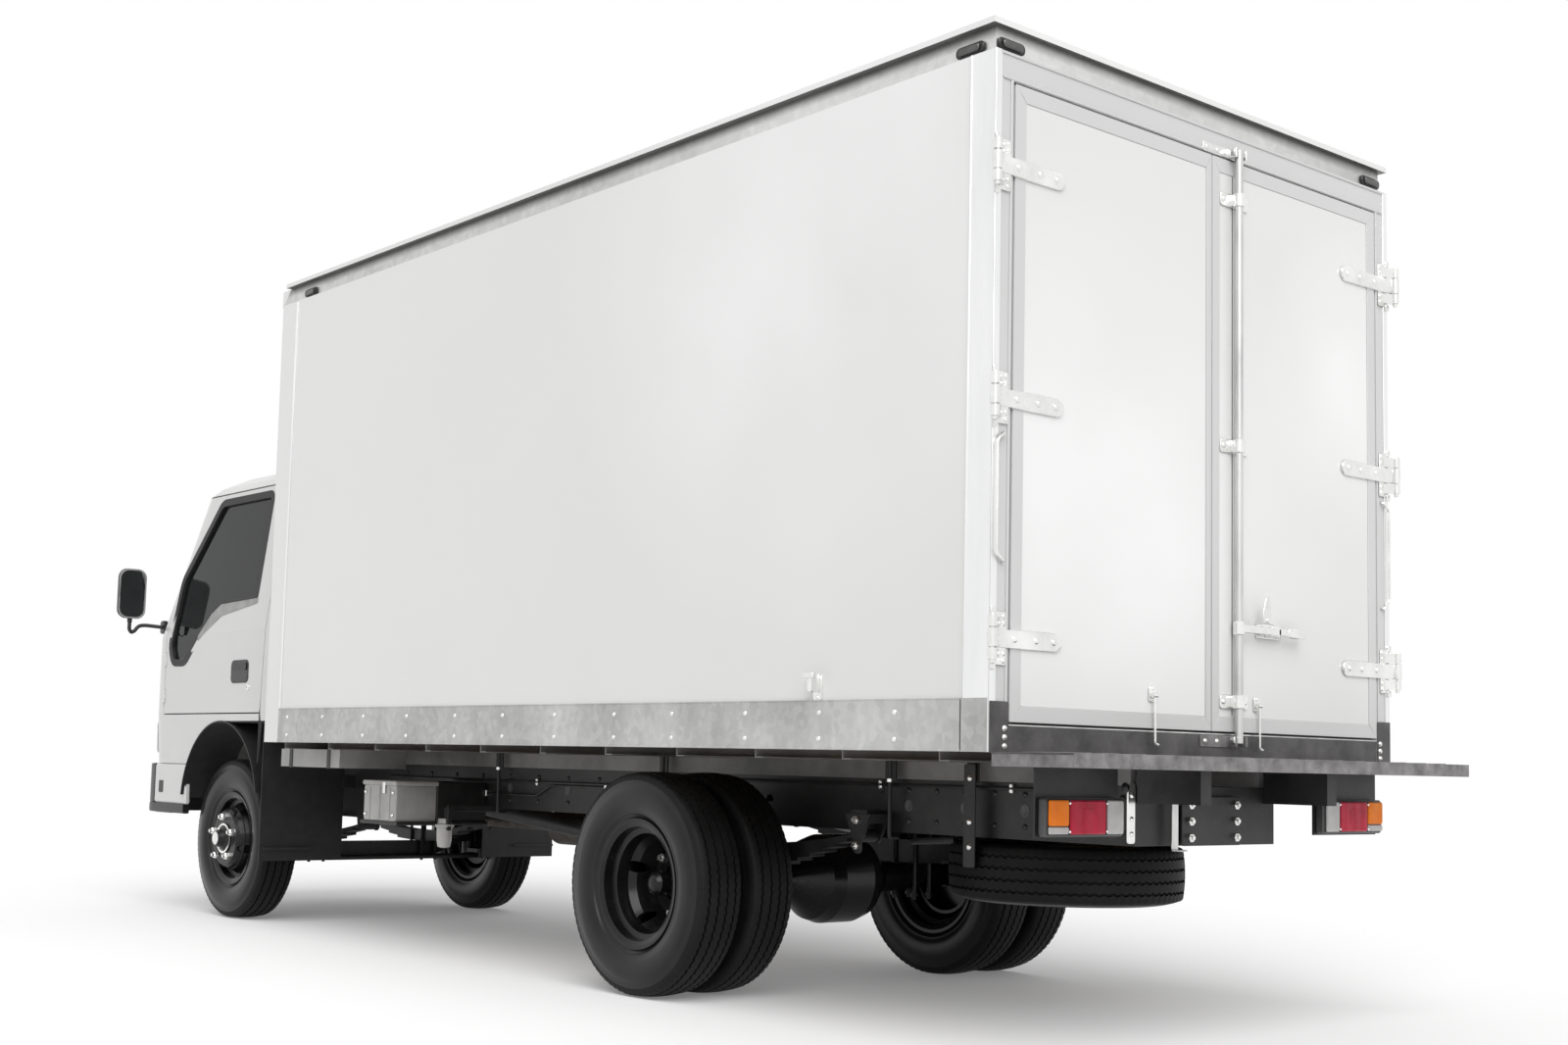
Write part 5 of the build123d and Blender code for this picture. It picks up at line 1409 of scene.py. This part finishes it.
clip_places = ((-1.2, 0.655), (-0.6, 0.655), (-0.2, 0.712), (0.3, 0.700), (1.9, 0.750), (2.5, 0.750))
clips = copies(slab(0.014, 0.030, 0.004, "x", 0, 0.014, 0.002), [(rail_face, y, z) for y, z in clip_places])
pair("frame_fittings", "chassis", {
    "chassis black": [frame_bolts, brake_pipe, air_pipe], "tank grey": [web_holes], "plated": [clips]})
print("frame bolts", 2 * len(bolt_y) * 2)

# %% Spring clamps
spring_half, bolt_apart = 0.040, 0.055


def spring_clamp(x, y, z_top, z_low, nut_z):
    """Two U-bolts over a spring pad with their four nuts and plain ends below."""
    parts = []
    near, far = x - spring_half, x + spring_half
    for y_bolt in (y - bolt_apart, y + bolt_apart):
        parts.append(rod([(near, y_bolt, z_low), (near, y_bolt, z_top), (far, y_bolt, z_top),
                          (far, y_bolt, z_low)], 0.0080, 0.014, 8))
        parts.append(copies(hex_nut("z", -1, 0.0150, 0.014, 0.010),
                            [(near, y_bolt, nut_z), (far, y_bolt, nut_z)]))
    return parts


y_rear_axle = centre_of("tyres_rear_left")[1]
shackle_y = 1.905
rear_clamps = spring_clamp(0.425, y_rear_axle, 0.560, 0.300, 0.325)
front_clamps = spring_clamp(0.323, y_axle_front, 0.500, 0.270, 0.292)
shackle_plate = slab(0.042, 0.135, 0.018, "x", 0.462, 0.470, 0.0015, (shackle_y, 0.585))
shackle_bolts = copies(hex_nut("x", 1, 0.0150, 0.013, 0.009), [(0.470, shackle_y, z) for z in (0.630, 0.545)])
pair("spring_clamps", "chassis", {
    "chassis black": rear_clamps + front_clamps + [shackle_plate], "plated": [shackle_bolts]})
print("spring clamps at", round(y_rear_axle, 3), "and", round(y_axle_front, 3))

# %% Body mounts and rear crossmember pipe
mount_x = 0.392
mount_ends = {-0.45: 0.575, 0.72: 0.575, 1.98: 0.575, 2.36: 0.500}
mount_rods = [rod([(mount_x, y, 0.905), (mount_x, y, z), (mount_x - 0.040, y, z)], 0.0075, 0.012, 8)
              for y, z in mount_ends.items()]
mount_plates = copies(slab(0.050, 0.070, 0.006, "x", 0, 0.008, 0.001),
                      [(mount_x - 0.008, y, 0.800) for y in mount_ends])
mount_nuts = copies(hex_nut("z", -1, 0.0130, 0.012, 0.008), [(mount_x, y, 0.770) for y in mount_ends])
strap_y = 2.36
hanger_strap = slab(0.050, 0.330, 0.006, "x", 0.400, 0.406, 0.001, (strap_y, 0.660))
hanger_bolts = dome_bolts("x", 0.011, 0.007, [(0.406, strap_y, z) for z in (0.560, 0.640, 0.780)])
pair("body_mounts", "chassis", {
    "chassis black": mount_rods + [mount_plates, hanger_strap], "plated": [mount_nuts, hanger_bolts]})
cross_pipe = rod([(0.30, 2.20, 0.575), (0.30, 1.98, 0.560), (-0.30, 1.98, 0.560)], 0.012, 0.05, 10)
piece("rear_crossmember_pipe", "chassis", {"chassis black": [cross_pipe]})
print("body mounts", 2 * len(mount_ends))

# %% [markdown]
# ## Boxes along the frame
#
# Behind the cab, on the left, hang a grey moulded battery box in a steel frame
# and the clear bowl of a water trap.  Two steel straps hold the air box.  The
# battery box stands for the plain block of the frame; the rest is added to it.

# %% Battery box, water trap and straps
box_y, box_out = -0.750, 0.8045
box_shell = slab(0.276, 0.156, 0.010, "x", 0.600, 0.800, 0.004, (box_y, 0.606))
box_lid = slab(0.290, 0.020, 0.006, "x", 0.594, 0.806, 0.003, (box_y, 0.692))
box_ribs = [slab(0.010, 0.136, 0.004, "x", 0.799, 0.8040, 0.0015, (y, 0.604))
            for y in (-0.835, -0.750, -0.665)]
box_frame = slab(0.320, 0.016, 0.004, "x", rail_face, box_out, 0.002, (box_y, 0.522))
box_stays = [slab(0.016, 0.180, 0.004, "x", rail_face, 0.600, 0.002, (y, 0.610)) for y in (-0.885, -0.615)]
box_bolts = dome_bolts("x", 0.0080, 0.005, [
    (box_out, y, z) for y in (-0.868, -0.632) for z in (0.556, 0.652)])
catch_bar = slab(0.020, 0.050, 0.004, "x", 0.804, 0.8075, 0.001, (-0.705, 0.672))
piece("battery_case", "chassis", {
    "grey plastic": [box_shell, box_lid] + box_ribs, "chassis black": [box_frame] + box_stays,
    "plated": [box_bolts, catch_bar]}, ("battery_box",))
trap_x = 0.588
bowl = turned([(0.420, 0.012), (0.424, 0.026), (0.450, 0.032), (0.505, 0.033), (0.509, 0.040),
               (0.520, 0.041), (0.524, 0.030), (0.545, 0.028)], "z", (trap_x, -0.560, 0), sides=28)
hoop = slab(0.020, 0.100, 0.006, "y", -0.552, -0.520, 0.002, (trap_x, 0.545))
trap_arm = slab(0.250, 0.030, 0.006, "y", -0.535, -0.527, 0.002, (0.470, 0.590))
piece("water_trap", "chassis", {"white lens": [bowl], "chassis black": [hoop, trap_arm]})
air_low, air_high = corners("air_box")
straps = [slab(0.030, air_high[2] - air_low[2] + 0.008, 0.004, "x", air_low[0] + 0.02, air_high[0] + 0.003,
               0.001, (y, (air_low[2] + air_high[2]) / 2)) for y in (air_low[1] + 0.10, air_high[1] - 0.10)]
piece("air_box_straps", "chassis", {"chassis black": straps})
print("boxes ready, straps", len(straps))

# %% [markdown]
# ## Step and frame end
#
# The step's edge is worn bright where boots and cargo meet it, and low bars
# across its top give grip.  Under it a bolted plate closes the end of the frame
# and a few plated and grey strips hang beside it.

# %% Step wear
step_high = corners("rear_step")[1]
wear_top = slab(2 * step_high[0] - 0.004, 0.006, 0.0025, "y", step_high[1] - 0.0045, step_high[1] - 0.0005,
                0.001, (0, step_high[2] - 0.0035))
wear_side = slab(0.296, 0.005, 0.002, "x", step_high[0] - 0.0010, step_high[0] + 0.0012, 0.0005,
                 (step_high[1] - 0.152, step_high[2] - 0.0030))
tread_bars = [slab(0.018, 0.240, 0.006, "z", step_high[2] - 0.001, step_high[2] + 0.0022, 0.0008,
                   (x, step_high[1] - 0.150)) for x in np.arange(-0.90, 0.91, 0.12)]
piece("step_wear_edge", "chassis", {
    "bar steel": [wear_top], "sill black": both(wear_side), "step paint": tread_bars})
print("tread bars", len(tread_bars))

# %% Frame end plate and hanging strips
end_face, strip_y, strip_z = 2.9975, 3.014, 0.690
hanging_x, grey_x = 0.407, 0.198
end_plate = slab(0.300, 0.150, 0.012, "y", end_face, end_face + 0.010, 0.002, (0, 0.665))
end_bolts = copies(hex_nut("y", 1, 0.0145, 0.012, 0.006), [
    (x, end_face + 0.010, z) for x in (-0.115, 0.115) for z in (0.615, 0.665, 0.715)])
hanging = slab(0.034, 0.180, 0.008, "y", strip_y, strip_y + 0.006, 0.0015, (hanging_x, strip_z))
hanging_bolts = dome_bolts("y", 0.0085, 0.005, [
    (hanging_x, strip_y + 0.006, z) for z in (0.628, 0.672, 0.742)])
grey_strip = slab(0.030, 0.222, 0.006, "y", strip_y, strip_y + 0.005, 0.0015, (grey_x, strip_z))
grey_foot = slab(0.030, 0.040, 0.004, "z", 0.576, 0.581, 0.001, (grey_x, strip_y + 0.020))
knobs = dome_bolts("y", 0.017, 0.012, [(x, 3.016, 0.764) for x in (0.434, 0.533)])
piece("frame_end_plate", "chassis", {
    "chassis black": [end_plate], "plated": [end_bolts, hanging, hanging_bolts],
    "bar steel": [grey_strip, grey_foot], "black plastic": [knobs]})
print("frame end at", end_face)


# %% [markdown]
# ## Floor, light and camera
#
# A white paper floor takes the shadow under the truck.  A little glow lifts the
# shadow, as the light that a studio's walls send back does.  Far from the truck
# the floor fades to plain white, so that no horizon shows.


# %% White floor
def seen_ray(tree):
    """1 for rays from the camera, from shiny surfaces and through glass, else 0."""
    ray = add(tree, "ShaderNodeLightPath")
    first = add(tree, "ShaderNodeMath", {
        0: ray.outputs["Is Camera Ray"], 1: ray.outputs["Is Glossy Ray"]}, operation="MAXIMUM")
    return add(tree, "ShaderNodeMath", {
        0: first.outputs[0], 1: ray.outputs["Is Transmission Ray"]}, operation="MAXIMUM").outputs[0]


far = 150
glow = 0.16
fade_from, fade_to = 5.0, 9.0
floor_mesh = bpy.data.meshes.new("studio_floor")
floor_mesh.from_pydata([(-far, -far, 0), (far, -far, 0), (far, far, 0), (-far, far, 0)],
                       [], [(0, 1, 2, 3)])
floor = bpy.data.objects.new("studio_floor", floor_mesh)
bpy.context.scene.collection.objects.link(floor)
paper, tree, shader, place = start("white paper floor", Roughness=0.9, Specular_IOR_Level=0.0)
fibre = mottle(tree, place, 3, 0, 1)
tree.links.new(tint(tree, fibre, "#f6f6f6", "#f8f8f8"), shader.inputs["Base Color"])
lift = add(tree, "ShaderNodeEmission", {"Color": (1, 1, 1, 1), "Strength": glow})
lifted = add(tree, "ShaderNodeAddShader")
tree.links.new(shader.outputs[0], lifted.inputs[0])
tree.links.new(lift.outputs[0], lifted.inputs[1])
flat = add(tree, "ShaderNodeVectorMath", {0: place, 1: (1, 1, 0)}, operation="MULTIPLY").outputs[0]
distance = add(tree, "ShaderNodeVectorMath", {0: flat}, operation="LENGTH").outputs["Value"]
plain = add(tree, "ShaderNodeEmission", {"Color": (1, 1, 1, 1), "Strength": 1.0})
faded = add(tree, "ShaderNodeMixShader", {"Fac": ramp_between(tree, distance, fade_from, fade_to)})
tree.links.new(lifted.outputs[0], faded.inputs[1])
tree.links.new(plain.outputs[0], faded.inputs[2])
chosen = add(tree, "ShaderNodeMixShader", {"Fac": seen_ray(tree)})
tree.links.new(shader.outputs[0], chosen.inputs[1])
tree.links.new(faded.outputs[0], chosen.inputs[2])
tree.links.new(chosen.outputs[0], tree.nodes["Material Output"].inputs["Surface"])
floor_mesh.materials.append(paper)
print("floor ready")

# %% [markdown]
# ## Sky and sun
#
# One broad soft sun stands behind and to the left, and the sky fills in the
# rest.  The sky is dim for the light it sends, but white for the camera and
# for shiny surfaces, so that paint and metal show a white room round them
# without being lit too brightly.

# %% Sky
scene = bpy.context.scene
world = bpy.data.worlds.new("studio")
scene.world = world
world.use_nodes = True
sky = world.node_tree
sky.nodes.clear()
dim = add(sky, "ShaderNodeBackground", {"Color": (1, 1, 1, 1), "Strength": 0.5})
white = add(sky, "ShaderNodeBackground", {"Color": (1, 1, 1, 1), "Strength": 1.0})
mixed = add(sky, "ShaderNodeMixShader", {"Fac": seen_ray(sky)})
sky.links.new(dim.outputs[0], mixed.inputs[1])
sky.links.new(white.outputs[0], mixed.inputs[2])
out = add(sky, "ShaderNodeOutputWorld")
sky.links.new(mixed.outputs[0], out.inputs["Surface"])
print("sky ready")


# %% Sun
def soft_sun(name, towards, power, spread):
    """A sun whose light comes from the given direction, as wide as spread degrees."""
    data = bpy.data.lights.new(name, "SUN")
    data.energy = power
    data.angle = math.radians(spread)
    sun = bpy.data.objects.new(name, data)
    scene.collection.objects.link(sun)
    x, y, z = towards
    sun.rotation_euler = (math.acos(z / math.hypot(x, y, z)), 0, math.atan2(x, -y))
    sun.location = (4 * x, 4 * y, 4 * z)


soft_sun("soft_sun", (0.42, 0.62, 0.66), 2.0, 50)
print("sun ready")

# %% [markdown]
# ## Camera
#
# The camera stands low behind the left rear corner and looks forward along the
# side.  It is set by its place, three angles and the focal length in picture
# widths; a shift moves the picture's centre without turning the camera, so the
# upright edges keep their slant.

# %% Camera at the viewing angle
camera_place = (4.93213, 6.65843, 0.81430)
yaw, pitch, roll = 0.70343, 0.08890, 0.02226
focal_px, centre_x, centre_y = 1958.22, 780.61, 603.53
width_px, height_px = 1600, 1066
sensor_mm = 36.0
ahead = np.array([-math.sin(yaw) * math.cos(pitch), -math.cos(yaw) * math.cos(pitch), math.sin(pitch)])
right = np.cross(ahead, (0, 0, 1.0))
right /= np.linalg.norm(right)
up = np.cross(right, ahead)
right, up = (math.cos(roll) * right + math.sin(roll) * up,
             -math.sin(roll) * right + math.cos(roll) * up)
data = bpy.data.cameras.new("viewer")
data.sensor_width = sensor_mm
data.lens = focal_px * sensor_mm / width_px
data.shift_x = (width_px / 2 - centre_x) / width_px
data.shift_y = (centre_y - height_px / 2) / width_px
data.clip_end = 500
viewer = bpy.data.objects.new("viewer", data)
scene.collection.objects.link(viewer)
turn = np.eye(4)
turn[:3, 0], turn[:3, 1], turn[:3, 2], turn[:3, 3] = right, up, -ahead, camera_place
viewer.matrix_world = Matrix(turn.tolist())
scene.camera = viewer
scene.view_settings.view_transform = "Standard"
print("lens", round(data.lens, 2), "mm")
